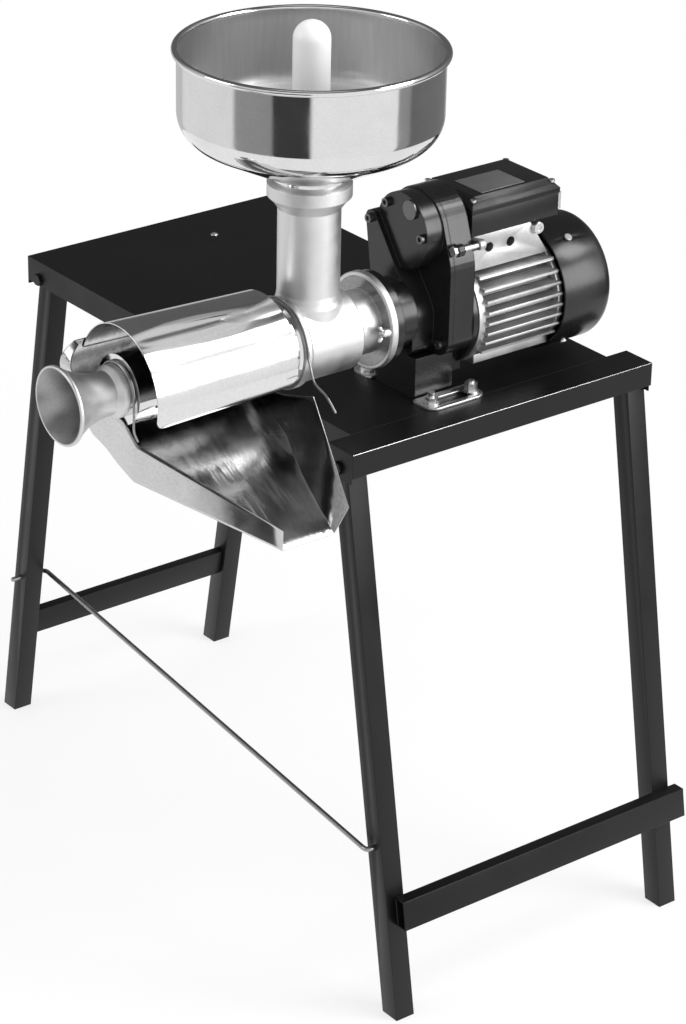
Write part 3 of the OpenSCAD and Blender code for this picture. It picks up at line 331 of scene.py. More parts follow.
def dress(node, width, segments):
    """The CAD node's own form with its edges really rounded."""
    bm = bmesh.new()
    bm.from_mesh(frame["nodes"][node].data)
    bmesh.ops.remove_doubles(bm, verts=bm.verts, dist=0.000002)
    bmesh.ops.dissolve_limit(bm, angle_limit=math.radians(0.7), verts=bm.verts, edges=bm.edges)
    mesh = baked(node + "_form", bm, rounding(width, segments))
    mesh.materials.clear()
    return piece(node + "_form", mesh, BODY_OF[node], SLOT_OF[node], [node], LOOK.get(node), 40)


def spin_mesh(name, profile, place, steps=96, closed=True, inner_from=None):
    """Ring of a profile of (radius, height) points, turned about Z, then put in place.

    The faces from profile point inner_from on get the second material.
    """
    bm = bmesh.new()
    rings = []
    for k in range(steps):
        a = 2 * math.pi * k / steps
        rings.append([None if r < ON_AXIS else bm.verts.new((r * math.cos(a), r * math.sin(a), h))
                      for r, h in profile])
    poles = {i: bm.verts.new((0, 0, h)) for i, (r, h) in enumerate(profile) if r < ON_AXIS}
    count = len(profile)
    spans = range(count if closed else count - 1)
    for k in range(steps):
        one, two = rings[k], rings[(k + 1) % steps]
        for i in spans:
            j = (i + 1) % count
            if i in poles and j in poles:
                continue
            if i in poles:
                corners = [poles[i], one[j], two[j]]
            elif j in poles:
                corners = [one[i], poles[j], two[i]]
            else:
                corners = [one[i], one[j], two[j], two[i]]
            face = bm.faces.new(corners)
            if inner_from is not None and i >= inner_from:
                face.material_index = 1
    bm.transform(place)
    return baked(name, bm)


def upright(x, y, z):
    """Profile heights run along +Z."""
    return Matrix.Translation((x, y, z))


def lying(x, y, z):
    """Profile heights run along +Y."""
    return Matrix.Translation((x, y, z)) @ Matrix.Rotation(-math.pi / 2, 4, "X")


def arc(cx, cy, r, a0, a1, n):
    """Points of an arc from a0 to a1 degrees, in n steps."""
    return [(cx + r * math.cos(math.radians(a0 + (a1 - a0) * i / n)),
             cy + r * math.sin(math.radians(a0 + (a1 - a0) * i / n))) for i in range(n + 1)]


def mm(points):
    """Points in millimetres turned to metres."""
    return [tuple(v * MM for v in p) for p in points]


def rounded_path(points, radius, n):
    """Polyline with each inner corner turned into a curve of n steps."""
    out = [Vector(points[0])]
    for before, corner, after in zip(points, points[1:], points[2:]):
        b, c, a = Vector(before), Vector(corner), Vector(after)
        reach = min(radius, (b - c).length * 0.45, (a - c).length * 0.45)
        p, q = c + (b - c).normalized() * reach, c + (a - c).normalized() * reach
        for i in range(n + 1):
            t = i / n
            out.append(p * (1 - t) ** 2 + c * 2 * t * (1 - t) + q * t * t)
    out.append(Vector(points[-1]))
    return out


# Rings of a wire's domed end, each as shares of the wire's radius and of the way back to its full width
DOME = ((0.55, 0.0), (0.86, 0.5))
DOME_DEPTH = 0.6


def wire_mesh(name, path, radius, sides=16):
    """Round wire along a path, with domed ends."""
    bm = bmesh.new()
    up = Vector((0.13, 0.21, 0.97))
    tangents = []
    for i, p in enumerate(path):
        d = Vector((0, 0, 0))
        if i:
            d += (p - path[i - 1]).normalized()
        if i < len(path) - 1:
            d += (path[i + 1] - p).normalized()
        tangents.append(d.normalized())
    side = tangents[0].cross(up).normalized()
    stations = []
    for p, t in zip(path, tangents):
        side = (side - t * side.dot(t)).normalized()
        stations.append((p, t, side, radius))

    def end(station, way):
        """The rings of one domed end, from its tip inwards."""
        p, t, s, r = station
        return [(p + way * t * r * (1 - back) * DOME_DEPTH, t, s, r * share) for share, back in DOME]

    head, tail = end(stations[0], -1), end(stations[-1], 1)
    rings = []
    around = [2 * math.pi * j / sides for j in range(sides)]
    for p, t, s, r in head + stations + tail[::-1]:
        other = t.cross(s)
        rings.append([bm.verts.new(p + r * (s * math.cos(a) + other * math.sin(a))) for a in around])
    for one, two in zip(rings, rings[1:]):
        for j in range(sides):
            k = (j + 1) % sides
            bm.faces.new([one[j], one[k], two[k], two[j]])
    bm.faces.new(rings[0][::-1])
    bm.faces.new(rings[-1])
    return baked(name, bm)


def sheet_mesh(name, grid, thickness, levels=0, crease_rows=(), crease_cols=()):
    """Sheet over a grid of points, thickened on one side, and smoothed in levels but for its creases."""
    bm = bmesh.new()
    crease = bm.edges.layers.float.new("crease_edge")
    verts = [[bm.verts.new(p) for p in row] for row in grid]
    for i in range(len(grid) - 1):
        for j in range(len(grid[0]) - 1):
            bm.faces.new([verts[i][j], verts[i][j + 1], verts[i + 1][j + 1], verts[i + 1][j]])
    for i in crease_rows:
        for j in range(len(grid[0]) - 1):
            bm.edges.get((verts[i][j], verts[i][j + 1]))[crease] = 1.0
    for j in crease_cols:
        for i in range(len(grid) - 1):
            bm.edges.get((verts[i][j], verts[i + 1][j]))[crease] = 1.0

    def modify(obj):
        if levels:
            s = obj.modifiers.new("smooth", "SUBSURF")
            s.levels = s.render_levels = levels
            s.boundary_smooth = "PRESERVE_CORNERS"
        m = obj.modifiers.new("gauge", "SOLIDIFY")
        m.thickness = thickness
        m.offset = -1.0
        e = obj.modifiers.new("edges", "BEVEL")
        e.width = abs(thickness) * 0.3
        e.segments = 2
        e.limit_method = "ANGLE"
        e.angle_limit = math.radians(60)
    mesh = bpy.data.meshes.new(name)
    bm.to_mesh(mesh)
    bm.free()
    return applied(name, mesh, modify)


# Stand: flat folded sheet with a painted highlight, a bright metal band, along the channel's outer top edge,
# and rounded tubes

SHEET_EDGE = 0.0013
TUBE_EDGE = 0.0018
HIGHLIGHT_FROM_X = 0.335

for folded in ("table_panel", "end_channel"):
    mesh = dress(folded, SHEET_EDGE, 1).data
    mesh.shade_flat()
    # The channel's outer top chamfer gets the painted highlight
    mesh.materials.append(EDGE_HIGHLIGHT)
    for polygon in mesh.polygons:
        if polygon.normal.x > 0.5 and polygon.normal.z > 0.5 and polygon.center.x > HIGHLIGHT_FROM_X:
            polygon.material_index = 1

for tube in ("leg_front_left", "leg_rear_left", "leg_front_right", "leg_rear_right", "stretcher_left",
             "stretcher_right"):
    dress(tube, TUBE_EDGE, 3)

# Tie rod: a wire with a hooked end in each leg frame

ROD_X = 0.3914
ROD_Z = 0.205
ROD_R = 0.003
ROD_BEND = 0.010

rod = rounded_path([(-ROD_X, -0.0407, ROD_Z), (-ROD_X, 0.0083, ROD_Z), (ROD_X, -0.0792, ROD_Z),
                    (ROD_X, -0.0602, ROD_Z)], ROD_BEND, 10)
piece("tie_rod_wire", wire_mesh("tie_rod_wire", rod, ROD_R), "frame", "zinc", ["tie_rod"], CLIP_STEEL)

# Hopper: spigot, dished base, rounded corner, upright wall and beaded rim, as radius and height in mm

BEAD_X, BEAD_Z, BEAD_R = 142.4, 144.4, 3.6
BOWL_R = 140.5
HOPPER_WALL = 1.2
CORNER_Z, CORNER_R = 79, 36
CORNER_X = BOWL_R - CORNER_R
BASE_TOP = 0.064

outside = ([(29.8, -23.8), (29.8, -0.4), (30.2, 0), (39.6, 0), (40.6, 1), (41.6, 8)]
           + arc(CORNER_X, CORNER_Z, CORNER_R, -64, 0, 32) + [(BOWL_R, 108), (BOWL_R, 134)])
rim = arc(BEAD_X, BEAD_Z, BEAD_R, -121.9, 210.6, 28)
inside = ([(BOWL_R - HOPPER_WALL, 134), (BOWL_R - HOPPER_WALL, 108)]
          + arc(CORNER_X, CORNER_Z, CORNER_R - HOPPER_WALL, 0, -64, 32)
          + [(41.1, 9.1), (40.4, 8.3), (39.4, 2), (38.8, 1.2), (29.6, 1.2), (28.6, 0.2), (28.6, -23.8)])
bowl = spin_mesh("hopper_bowl", mm(outside + rim + inside), upright(PRESS_X, NECK_Y, NECK_Z), 192,
                 inner_from=len(outside) + len(rim) - 1)
# Outside polished; inside satin and darker as painted shade
bowl.materials.append(MATERIALS["polished_steel"])
bowl.materials.append(SATIN_SHADED_STEEL)
bowl.materials.append(FLOOR_STEEL_LIT)
# Inside faces below the base's top get the paler steel as painted light
for polygon in bowl.polygons:
    if polygon.material_index == 1 and polygon.center.z < NECK_Z + BASE_TOP:
        polygon.material_index = 2
piece("hopper_bowl", bowl, "hopper", "polished_steel", ["hopper"], sharp=38)

# Pusher: a wider foot, and a stem with a round head

STEM_R = 20
STEM_TOP = 353

stem = mm([(0, 38.8), (24, 38.8), (25.4, 39.4), (26, 40.8), (26, 47.0), (25.5, 48.0), (20.6, 52.2),
           (STEM_R, 53.4), (STEM_R, 120), (STEM_R, 220), (STEM_R, 300)]
          + arc(0, STEM_TOP - STEM_R, STEM_R, 0, 90, 20)[:-1] + [(0, STEM_TOP)])
piece("pusher_stem", spin_mesh("pusher_stem", stem, upright(PRESS_X, NECK_Y, AXIS_Z), 72, closed=False),
      "pusher", "white_plastic", ["pusher"], sharp=50)

# Waste funnel: a trumpet round its bore, with a lip at the mouth and a collar at the other end

FUNNEL_BORE = 20
FUNNEL_WALL = 4
TRUMPET = 54
TRUMPET_POWER = 2.2
TRUMPET_STEPS = 20


def trumpet(r, widening, start, i):
    """Point of the curve after i steps from the mouth."""
    share = i / TRUMPET_STEPS
    return r + widening * (1 - share) ** TRUMPET_POWER, start + TRUMPET * share


flare = [trumpet(FUNNEL_BORE + FUNNEL_WALL, 18, 4, i) for i in range(TRUMPET_STEPS + 1)]
bore = [trumpet(FUNNEL_BORE, 20, 0, i) for i in range(TRUMPET_STEPS, -1, -1)]
funnel = mm([(40.6, 0.4), (41.4, 0), (42.4, 0.2), (43, 1), (43, 3.4), (42.6, 4)] + flare
            + [(28.6, 63.4), (29, 64), (29, 69.6), (28.6, 70), (FUNNEL_BORE, 70)] + bore)
funnel_mesh = spin_mesh("funnel_cast", funnel, lying(PRESS_X, MOUTH_Y, AXIS_Z), 96,
                        inner_from=len(funnel) - len(bore) - 1)
funnel_mesh.materials.append(MATERIALS["cast_aluminium"])
# The bore gets the darker cast as painted shade
funnel_mesh.materials.append(SHADED_CAST)
piece("funnel_cast", funnel_mesh, "funnel", "cast_aluminium", ["waste_funnel"], sharp=38)

# Machined face of the body's flange behind the tube end, darker than the cast as painted shade in the recess
face = mm([(36.4, -0.25), (50.2, -0.25), (50.8, 0.3), (36.4, 0.3)])
piece("flange_face", spin_mesh("flange_face", face, lying(PRESS_X, FLANGE_Y, AXIS_Z), 96), "frame",
      "cast_aluminium", mat=FACED_AND_SHADED)

# Splash guard: a half round sheet that widens to the front, the corners of its lower edge rounded

GUARD_Y0, GUARD_Y1 = -0.294, -0.110
GUARD_R0, GUARD_R1 = 69.8, 63.5
LOW, HIGH = -18.0, 160.0
CORNER = 0.010
SHEET = 0.0012


def guard_grid(cols=60, rows=48):
    """Rows of points from front to back, closer together near both ends, where the corners are."""
    grid = []
    for i in range(rows + 1):
        y = GUARD_Y0 + (GUARD_Y1 - GUARD_Y0) * 0.5 * (1 - math.cos(math.pi * i / rows))
        u = (y - GUARD_Y0) / (GUARD_Y1 - GUARD_Y0)
        r = (GUARD_R0 + (GUARD_R1 - GUARD_R0) * u) * MM
        d = min(y - GUARD_Y0, GUARD_Y1 - y)
        cut = 0.0
        if d < CORNER:
            cut = CORNER - math.sqrt(max(0.0, CORNER ** 2 - (CORNER - d) ** 2))
        low = LOW + math.degrees(cut / r)
        row = []
        for j in range(cols + 1):
            a = math.radians(low + (HIGH - low) * j / cols)
            row.append((PRESS_X + r * math.cos(a), y, AXIS_Z + r * math.sin(a)))
        grid.append(row)
    return grid


def faces_axis(polygon):
    """Does a face look at the press's axis?"""
    way_x, way_z = PRESS_X - polygon.center.x, AXIS_Z - polygon.center.z
    return way_x * polygon.normal.x + way_z * polygon.normal.z > 0.7 * math.hypot(way_x, way_z)


def two_sided(mesh, outer, inner, is_inner):
    """One finish on the mesh, and another, here always a darker one as painted shade, on the faces that
    is_inner picks.
    """
    mesh.materials.append(outer)
    mesh.materials.append(inner)
    for polygon in mesh.polygons:
        polygon.material_index = int(is_inner(polygon))
    return mesh


guard = sheet_mesh("guard_sheet", guard_grid(), SHEET)
# The guard's inside gets the darker steel as painted shade
piece("guard_sheet", two_sided(guard, GUARD_STEEL, STEEL_INSIDE_SHADE, faces_axis),
      "guard", "polished_steel", ["splash_guard"], sharp=50)

# Wing screws: a turned hub with its thread, and two wings that widen outwards

WING_RING = 0.047
WING_TURN = math.radians(3)

# A wing at its root, in millimetres, and what is added up to its tip: half width, place along Y, height
WING_HALF, WIDENING = 1.7, 1.1
WING_Y, LEANING = -8.2, -4.4
WING_Z, RISE = 1.2, 8.6
WING_HALF_DEPTH = 3.0

for side, node in ((1, "wing_screw_right"), (-1, "wing_screw_left")):
    cx = PRESS_X + side * WING_RING * math.cos(WING_TURN)
    cz = AXIS_Z + side * WING_RING * math.sin(WING_TURN)
    bm = bmesh.new()
    hub = [(0, -10.5), (3.4, -10.5), (4.6, -9.6), (5.2, -7), (5.6, -2), (5.6, 0), (3.95, 0), (3.95, 17),
           (3.2, 17.9), (0, 17.9)]
    mesh = spin_mesh("hub", mm(hub), lying(cx, FLANGE_Y, cz), 40, closed=False)
    bm.from_mesh(mesh)
    for s in (1, -1):
        made = bmesh.ops.create_uvsphere(bm, u_segments=20, v_segments=12, radius=MM)["verts"]
        for v in made:
            x, y, z = v.co / MM
            reach = (z + 1) / 2
            v.co = Vector((cx + x * (WING_HALF + WIDENING * reach) * MM,
                           FLANGE_Y + (WING_Y + LEANING * reach + y * WING_HALF_DEPTH) * MM,
                           cz + s * (WING_Z + RISE * reach) * MM))
    piece(node + "_form", baked(node + "_form", bm), node, "zinc", [node], sharp=60)

# Drip chute: a round part beside the tube, a trough that slopes to its spout, and a front and a back plate

CHUTE_R = 71.6
CHUTE_FRONT = -302.0
CHUTE_BACK = -94.0
SLOPE = 30.0
ROUND_FROM = 150
ROUND_TO = 270 - int(SLOPE)
FRONT_HOLE_R = 31
BACK_HOLE_R = 55
TROUGH_X = 254
TROUGH_RUN = 114
SPOUT_FRONT = -183

# Near its top the front plate narrows, the sheet leans forward and its corner is cut back: by how much at the
# top, and over how many degrees round the tube
NARROW_BY, NARROW_OVER = 35, 50
LEAN_BY, LEAN_OVER = 25, 70
CUT_BY, CUT_OVER = 21, 24


def about(r, a):
    """Point at a radius and an angle in degrees round the press's axis, as X and Z in millimetres."""
    return PRESS + r * math.cos(math.radians(a)), AXIS + r * math.sin(math.radians(a))


base = about(CHUTE_R, ROUND_TO)


def floor_z(x):
    """Height of the sloping floor."""
    return base[1] - (x - base[0]) * math.tan(math.radians(SLOPE))


def between(p, q, t):
    """Point at a share t of the way from p to q."""
    return tuple(a + (b - a) * t for a, b in zip(p, q))


def chute_grid():
    """Rows round the chute, each from the front plate's edge over floor or wall to the back plate's edge."""
    corners = []
    for a in range(ROUND_FROM, ROUND_TO + 1, 6):
        down = a - ROUND_FROM
        p, m = about(CHUTE_R, a), about(BACK_HOLE_R, a)
        n = about(FRONT_HOLE_R + NARROW_BY * max(0, 1 - down / NARROW_OVER), a)
        lean, cut = LEAN_BY * max(0, 1 - down / LEAN_OVER), CUT_BY * max(0, 1 - down / CUT_OVER) ** 2
        yf = CHUTE_FRONT - lean + cut
        corners.append([(n[0], yf + 1, n[1]), (p[0], yf, p[1]), (p[0], CHUTE_BACK, p[1]),
                        (m[0], CHUTE_BACK, m[1])])
    for a, x in ((265, (base[0] + PRESS) / 2), (290, PRESS)):
        n, m = about(FRONT_HOLE_R, a), about(BACK_HOLE_R, a)
        corners.append([(n[0], CHUTE_FRONT + 6, n[1]), (x, CHUTE_FRONT + 5, floor_z(x)),
                        (x, CHUTE_BACK, floor_z(x)), (m[0], CHUTE_BACK, m[1])])
    for u in (0, 0.3, 0.65, 1):
        x = TROUGH_X + TROUGH_RUN * u
        z = floor_z(x)
        yf = CHUTE_FRONT + 10 + (SPOUT_FRONT - CHUTE_FRONT - 10) * u
        yr = CHUTE_BACK - 22 * u ** 0.6
        corners.append([(x + 4 - 6 * u, yf + 2, z + 43 - 22 * u), (x, yf, z), (x, yr, z),
                        (x + 46 - 46 * u, CHUTE_BACK - 2 * u, z + 62 - 37 * u)])
    grid = []
    for f, a, b, r in corners:
        row = [between(f, a, t) for t in (0, 0.5, 0.9)]
        row += [between(a, b, t) for t in (0, 0.03, 0.2, 0.4, 0.6, 0.8, 0.97, 1)]
        row += [between(b, r, t) for t in (0.1, 0.5, 1)]
        grid.append(mm(row))
    return grid


def chute_inside(polygon):
    """The faces that the juice runs over, which get the painted shade: the trough, its back wall and the
    inside of the round part.
    """
    c, n = polygon.center, polygon.normal
    return n.z > 0.35 or (c.y > -0.15 and n.y < -0.2) or faces_axis(polygon)


# The trough and the inside of the round part get the darker steel as painted shade
chute = sheet_mesh("chute_sheet", chute_grid(), -SHEET, levels=2, crease_rows=(15, 18), crease_cols=(3, 10))
piece("chute_sheet", two_sided(chute, CHUTE_STEEL, STEEL_INSIDE_SHADE, chute_inside), "frame", "polished_steel",
      ["drip_chute"], sharp=30)

# Wire clips

CLIP_R = 0.0013
CLIP_BEND = 0.006


def clip(name, r, y, tail, node):
    """Spring wire: a bow over the press at one Y, then a tail with rounded bends."""
    bow = [(x, y, z) for x, z in (about(r, a) for a in range(200, -1, -5))]
    path = [Vector(p) for p in mm(bow[:-1])] + rounded_path(mm(bow[-1:] + tail), CLIP_BEND, 6)
    piece(name, wire_mesh(name, path, CLIP_R, 14), "frame", "bright_steel", [node], CLIP_STEEL)


clip("clip_front_wire", 30.75, -297,
     [(261.75, -297, 747), (260.75, -297, 725), (258, -290, 711)], "clip_front")
clip("clip_rear_wire", 51.75, -86.7,
     [(295.75, -89.7, 739), (317.75, -88.7, 731), (329.75, -86.7, 717)], "clip_rear")

# Motor body: a round shell with level fins and a rail under each side, in millimetres about the motor's axis

SHELL_R, FIN_R, FIN_T, PITCH = 56.0, 70.0, 3.6, 12.2
FIN_LOW, FIN_HIGH = -37.4, 50
ROOT, EASE = 1.2, 0.8
RAIL = [(29, -54.6), (30, -55.4), (45, -55.4), (46, -54.4), (46, -45), (45, -44), (36.5, -43.4)]
SHELL_Y0, SHELL_Y1 = 148, 255.7
VALLEY_Y0, VALLEY_Y1 = 150, 251.5

# Rings at the shell's ends: radius, and from where to where along Y
FRONT_RING = (63.5, 140, 148.6)
REAR_RING = (65.4, 252, 258)


def body_x(z, r=SHELL_R):
    """Half the width of a round body at a height."""
    return math.sqrt(max(0.0, r * r - z * z))


def fin_outline():
    """Right half of the section from the bottom up."""
    points = [(0, -SHELL_R), (9, -body_x(9)), (18, -body_x(18)), (25, -body_x(25))] + RAIL
    z = FIN_LOW
    while z < FIN_HIGH:
        low, high = z - FIN_T / 2, z + FIN_T / 2
        points += [(body_x(low), low - ROOT / 2), (body_x(low) + ROOT, low), (body_x(low, FIN_R) - EASE, low),
                   (body_x(z, FIN_R), low + EASE), (body_x(z, FIN_R), high - EASE),
                   (body_x(high, FIN_R) - EASE, high), (body_x(high) + ROOT, high),
                   (body_x(high), high + ROOT / 2)]
        z += PITCH
    return points + arc(0, 0, SHELL_R, 70, 90, 5)


def skin(bm, outlines):
    """Closed body between two outlines with as many points."""
    one, two = ([bm.verts.new(p) for p in outline] for outline in outlines)
    for i in range(len(one)):
        k = (i + 1) % len(one)
        bm.faces.new([one[i], one[k], two[k], two[i]])
    bm.faces.new(one[::-1])
    bm.faces.new(two)


def prism(bm, outline, y0, y1):
    """Closed prism of an XZ outline about the motor's axis, along Y."""
    skin(bm, [[((PRESS + x) * MM, y * MM, (MOTOR + z) * MM) for x, z in outline] for y in (y0, y1)])


def disc(bm, x, z, r, y0, y1, sides=48):
    """Closed disc about a point beside the motor's axis, along Y."""
    prism(bm, [(x + r * math.cos(2 * math.pi * i / sides), z + r * math.sin(2 * math.pi * i / sides))
               for i in range(sides)], y0, y1)


def in_valley(polygon):
    """Does a face of the shell lie between fins, where the painted shade goes?"""
    c = polygon.center
    on_shell = math.hypot(c.x - PRESS_X, c.z - MOTOR_Z) < (SHELL_R + 1.5) * MM
    return VALLEY_Y0 * MM < c.y < VALLEY_Y1 * MM and on_shell and abs(polygon.normal.y) < 0.5


half = fin_outline()
bm = bmesh.new()
prism(bm, half + [(-x, z) for x, z in half[::-1] if x > ON_AXIS], SHELL_Y0, SHELL_Y1)
disc(bm, 0, 0, *REAR_RING, 96)
disc(bm, 0, 0, *FRONT_RING, 96)
body_mesh = baked("motor_body", bm, rounding(0.0006, 2, 40))
# The shell between the fins gets the darker cast as painted shade
piece("motor_body", two_sided(body_mesh, MOTOR_CAST, VALLEY_SHADE_CAST, in_valley), "frame", "cast_aluminium",
      ["motor_housing"], sharp=25)

# Raised pad that carries the terminal box, with two blind bores in each side, in millimetres as the body

PAD_X, PAD_Z0, PAD_Z1 = 44.0, 55.0, 95.8
PAD_Y0, PAD_FOOT_Y, PAD_TOP_Y = 140.4, 251, 224
BORE_Z = 79
BORE_Y = (166, 196.5)
BORE_R = 5.6
BORE_DEPTH = 18


def cutter(side, y):
    """A plain cylinder to cut one bore with, half of it outside the pad."""
    mesh = bpy.data.meshes.new("bore")
    hole = bmesh.new()
    bmesh.ops.create_cone(hole, cap_ends=True, segments=32, radius1=BORE_R * MM, radius2=BORE_R * MM,
                          depth=2 * BORE_DEPTH * MM)
    hole.to_mesh(mesh)
    hole.free()
    obj = bpy.data.objects.new("bore", mesh)
    obj.location = (PRESS_X + side * PAD_X * MM, y * MM, (MOTOR + BORE_Z) * MM)
    obj.rotation_euler = Vector((side, 0, 0)).to_track_quat("Z", "Y").to_euler()
    scene.collection.objects.link(obj)
    return obj


def drilled(obj):
    """Cut the bores and round the edges, to hand to baked."""
    for hole in holes:
        m = obj.modifiers.new("hole", "BOOLEAN")
        m.operation = "DIFFERENCE"
        m.object = hole
        m.solver = "EXACT"
    rounding(0.0007, 2, 40)(obj)


def in_bore(polygon):
    """Does a face of the pad lie in one of its bores, where the painted shade goes?"""
    c = polygon.center
    below_face = abs(c.x - PRESS_X) < (PAD_X - 1.2) * MM
    off_bore = max(abs(c.z / MM - MOTOR - BORE_Z), min(abs(c.y / MM - y) for y in BORE_Y))
    return below_face and off_bore < BORE_R + 0.2


holes = [cutter(side, y) for side in (-1, 1) for y in BORE_Y]
bpy.context.view_layer.update()
bm = bmesh.new()
pad_side = ((PAD_Y0, PAD_Z0), (PAD_FOOT_Y, PAD_Z0), (PAD_TOP_Y, PAD_Z1), (PAD_Y0, PAD_Z1))
skin(bm, [[((PRESS + x) * MM, y * MM, (MOTOR + z) * MM) for y, z in pad_side] for x in (-PAD_X, PAD_X)])
pad_mesh = baked("motor_pad", bm, drilled)
for hole in holes:
    spare = hole.data
    bpy.data.objects.remove(hole)
    bpy.data.meshes.remove(spare)
pad_mesh.materials.clear()
# The bores' insides get the darker cast as painted shade
piece("motor_pad", two_sided(pad_mesh, MOTOR_CAST, VALLEY_SHADE_CAST, in_bore), "frame", "cast_aluminium", sharp=25)

# Ears that the through bolts screw into, and the studs cut short in them

EAR_X, EAR_Z, EAR_R = 60, 93, 5.8
EAR_Y0, EAR_Y1 = 135.5, 143.5
STUD_END = 142.5

bm = bmesh.new()
for side in (-1, 1):
    disc(bm, side * EAR_X, EAR_Z, EAR_R, EAR_Y0, EAR_Y1, 32)
    prism(bm, [(side * 59, 87.6), (side * 40, 76), (side * 40, 95), (side * 59, 98.4)], EAR_Y0, EAR_Y1)
piece("motor_ears", baked("motor_ears", bm, rounding(0.0008, 2, 40)), "frame", "cast_aluminium",
      mat=MOTOR_CAST, sharp=25)
bm = bmesh.new()
bm.from_mesh(frame["nodes"]["through_bolts"].data)
for v in bm.verts:
    if v.co.y > EAR_Y1 * MM:
        v.co.y = STUD_END * MM
piece("through_bolt_studs", baked("through_bolt_studs", bm), "frame", SLOT_OF["through_bolts"],
      ["through_bolts"], sharp=30)

# Earth screw in the pad's side, near its end

EARTH_Y, EARTH_Z = 0.2333, 0.8377
EARTH_SUNK = 0.0005

earth = mm([(0, 0), (6.4, 0), (7, 0.6), (7, 5), (6.2, 6), (3.4, 6), (3.4, 4.6), (0, 4.6)])
earth_x = PRESS_X + PAD_X * MM - EARTH_SUNK
earth_place = upright(earth_x, EARTH_Y, EARTH_Z) @ Matrix.Rotation(math.pi / 2, 4, "Y")
piece("earth_screw", spin_mesh("earth_screw", earth, earth_place, 32, closed=False), "frame",
      "cast_aluminium", mat=MATERIALS["zinc"])

# Terminal box, its plate and the fan cover, with the radius of their edges

TRIM_EDGES = {"terminal_lid": 0.001, "terminal_box": 0.001, "label_plate": 0.0003, "fan_cover": 0.001}

for trim, radius in TRIM_EDGES.items():
    dress(trim, radius, 2)

# Slotted foot plates: each a loop round its two bolts, in millimetres from the press's axis

PLATE_X, PLATE_HALF = 55.5, 17.5
PLATE_Y0, PLATE_Y1 = 67, 147
SLOT_X, SLOT_HALF = 57, 8.2
SLOT_Y0, SLOT_Y1 = 71.5, 142.5
PLATE_INNER_R, PLATE_OUTER_R, SLOT_R = 5, 13, 8
PLATE_Z = (666.0, 669.5)


def loop(x, half_width, y0, y1, inner_r, outer_r, side, n=10):
    """Closed outline with its own corner radius towards the gear case and away from it."""
    cx = PRESS + side * x
    out = []
    for sx, sy, cy in ((1, 1, y1), (-1, 1, y1), (-1, -1, y0), (1, -1, y0)):
        r = outer_r if sx == side else inner_r
        start = {(1, 1): 0, (-1, 1): 90, (-1, -1): 180, (1, -1): 270}[sx, sy]
        out += arc(cx + sx * (half_width - r), cy - sy * r, r, start, start + 90, n)
    return out


bm = bmesh.new()
for side in (-1, 1):
    rims = [loop(PLATE_X, PLATE_HALF, PLATE_Y0, PLATE_Y1, PLATE_INNER_R, PLATE_OUTER_R, side),
            loop(SLOT_X, SLOT_HALF, SLOT_Y0, SLOT_Y1, SLOT_R, SLOT_R, side)]
    low, high = ([[bm.verts.new((x * MM, y * MM, z * MM)) for x, y in rim] for rim in rims] for z in PLATE_Z)
    count = len(rims[0])
    for i in range(count):
        k = (i + 1) % count
        bm.faces.new([low[0][i], low[0][k], high[0][k], high[0][i]])
        bm.faces.new([low[1][k], low[1][i], high[1][i], high[1][k]])
        bm.faces.new([high[0][i], high[0][k], high[1][k], high[1][i]])
        bm.faces.new([low[0][k], low[0][i], low[1][i], low[1][k]])
piece("foot_plate_loops", baked("foot_plate_loops", bm, rounding(0.0007, 2, 50)), "frame",
      SLOT_OF["foot_plates"], ["foot_plates"], sharp=40)

# Stage: pale floor, soft studio light, and the photograph's camera, solved from the stand's straight edges

CAMERA_PLACE = (2.86776, -2.07817, 2.17316)
CAMERA_TURN = (1.1172, -0.0189, 0.9116)
CAMERA_LENS = 118.03

camera_data = bpy.data.cameras.new("camera")
camera_data.sensor_fit = "VERTICAL"
camera_data.sensor_height = 36
camera_data.lens = CAMERA_LENS
camera_data.clip_end = 50
camera = bpy.data.objects.new("camera", camera_data)
camera.location = CAMERA_PLACE
camera.rotation_euler = Euler(CAMERA_TURN, "XYZ")
scene.collection.objects.link(camera)
scene.camera = camera
scene.view_settings.view_transform = "Standard"

FLOOR_R = 1.95
FADE_FROM = 0.55
GLOW_NEAR = 0.72

bm = bmesh.new()
bmesh.ops.create_circle(bm, cap_ends=True, segments=96, radius=FLOOR_R)
floor_mesh = bpy.data.meshes.new("floor")
bm.to_mesh(floor_mesh)
bm.free()
floor = bpy.data.objects.new("floor", floor_mesh)
scene.collection.objects.link(floor)

# Floor: white to mirrors and glass, and to the camera a matt floor that fades to white away from the stand
floor_mat = bpy.data.materials.new("floor")
floor_mat.use_nodes = True
tree = floor_mat.node_tree
tree.nodes.clear()
out = add(tree, "ShaderNodeOutputMaterial")
matt = add(tree, "ShaderNodeBsdfDiffuse")
matt.inputs["Color"].default_value = (0.9, 0.9, 0.9, 1)
glow = add(tree, "ShaderNodeEmission")
glow.inputs["Color"].default_value = (1, 1, 1, 1)
path_node = add(tree, "ShaderNodeLightPath")
mirrored = add(tree, "ShaderNodeMath", operation="MAXIMUM")
link(tree, path_node, "Is Glossy Ray", mirrored, 0)
link(tree, path_node, "Is Transmission Ray", mirrored, 1)
place = add(tree, "ShaderNodeTexCoord")
far = add(tree, "ShaderNodeVectorMath", operation="LENGTH")
link(tree, place, "Object", far, 0)
fade = add(tree, "ShaderNodeMapRange", interpolation_type="SMOOTHSTEP")
fade.inputs["From Min"].default_value = FADE_FROM
fade.inputs["From Max"].default_value = FLOOR_R - 0.1
fade.inputs["To Min"].default_value = GLOW_NEAR
fade.inputs["To Max"].default_value = 1.0
link(tree, far, "Value", fade, "Value")
direct = add(tree, "ShaderNodeMath", operation="MULTIPLY")
link(tree, fade, "Result", direct, 0)
link(tree, path_node, "Is Camera Ray", direct, 1)
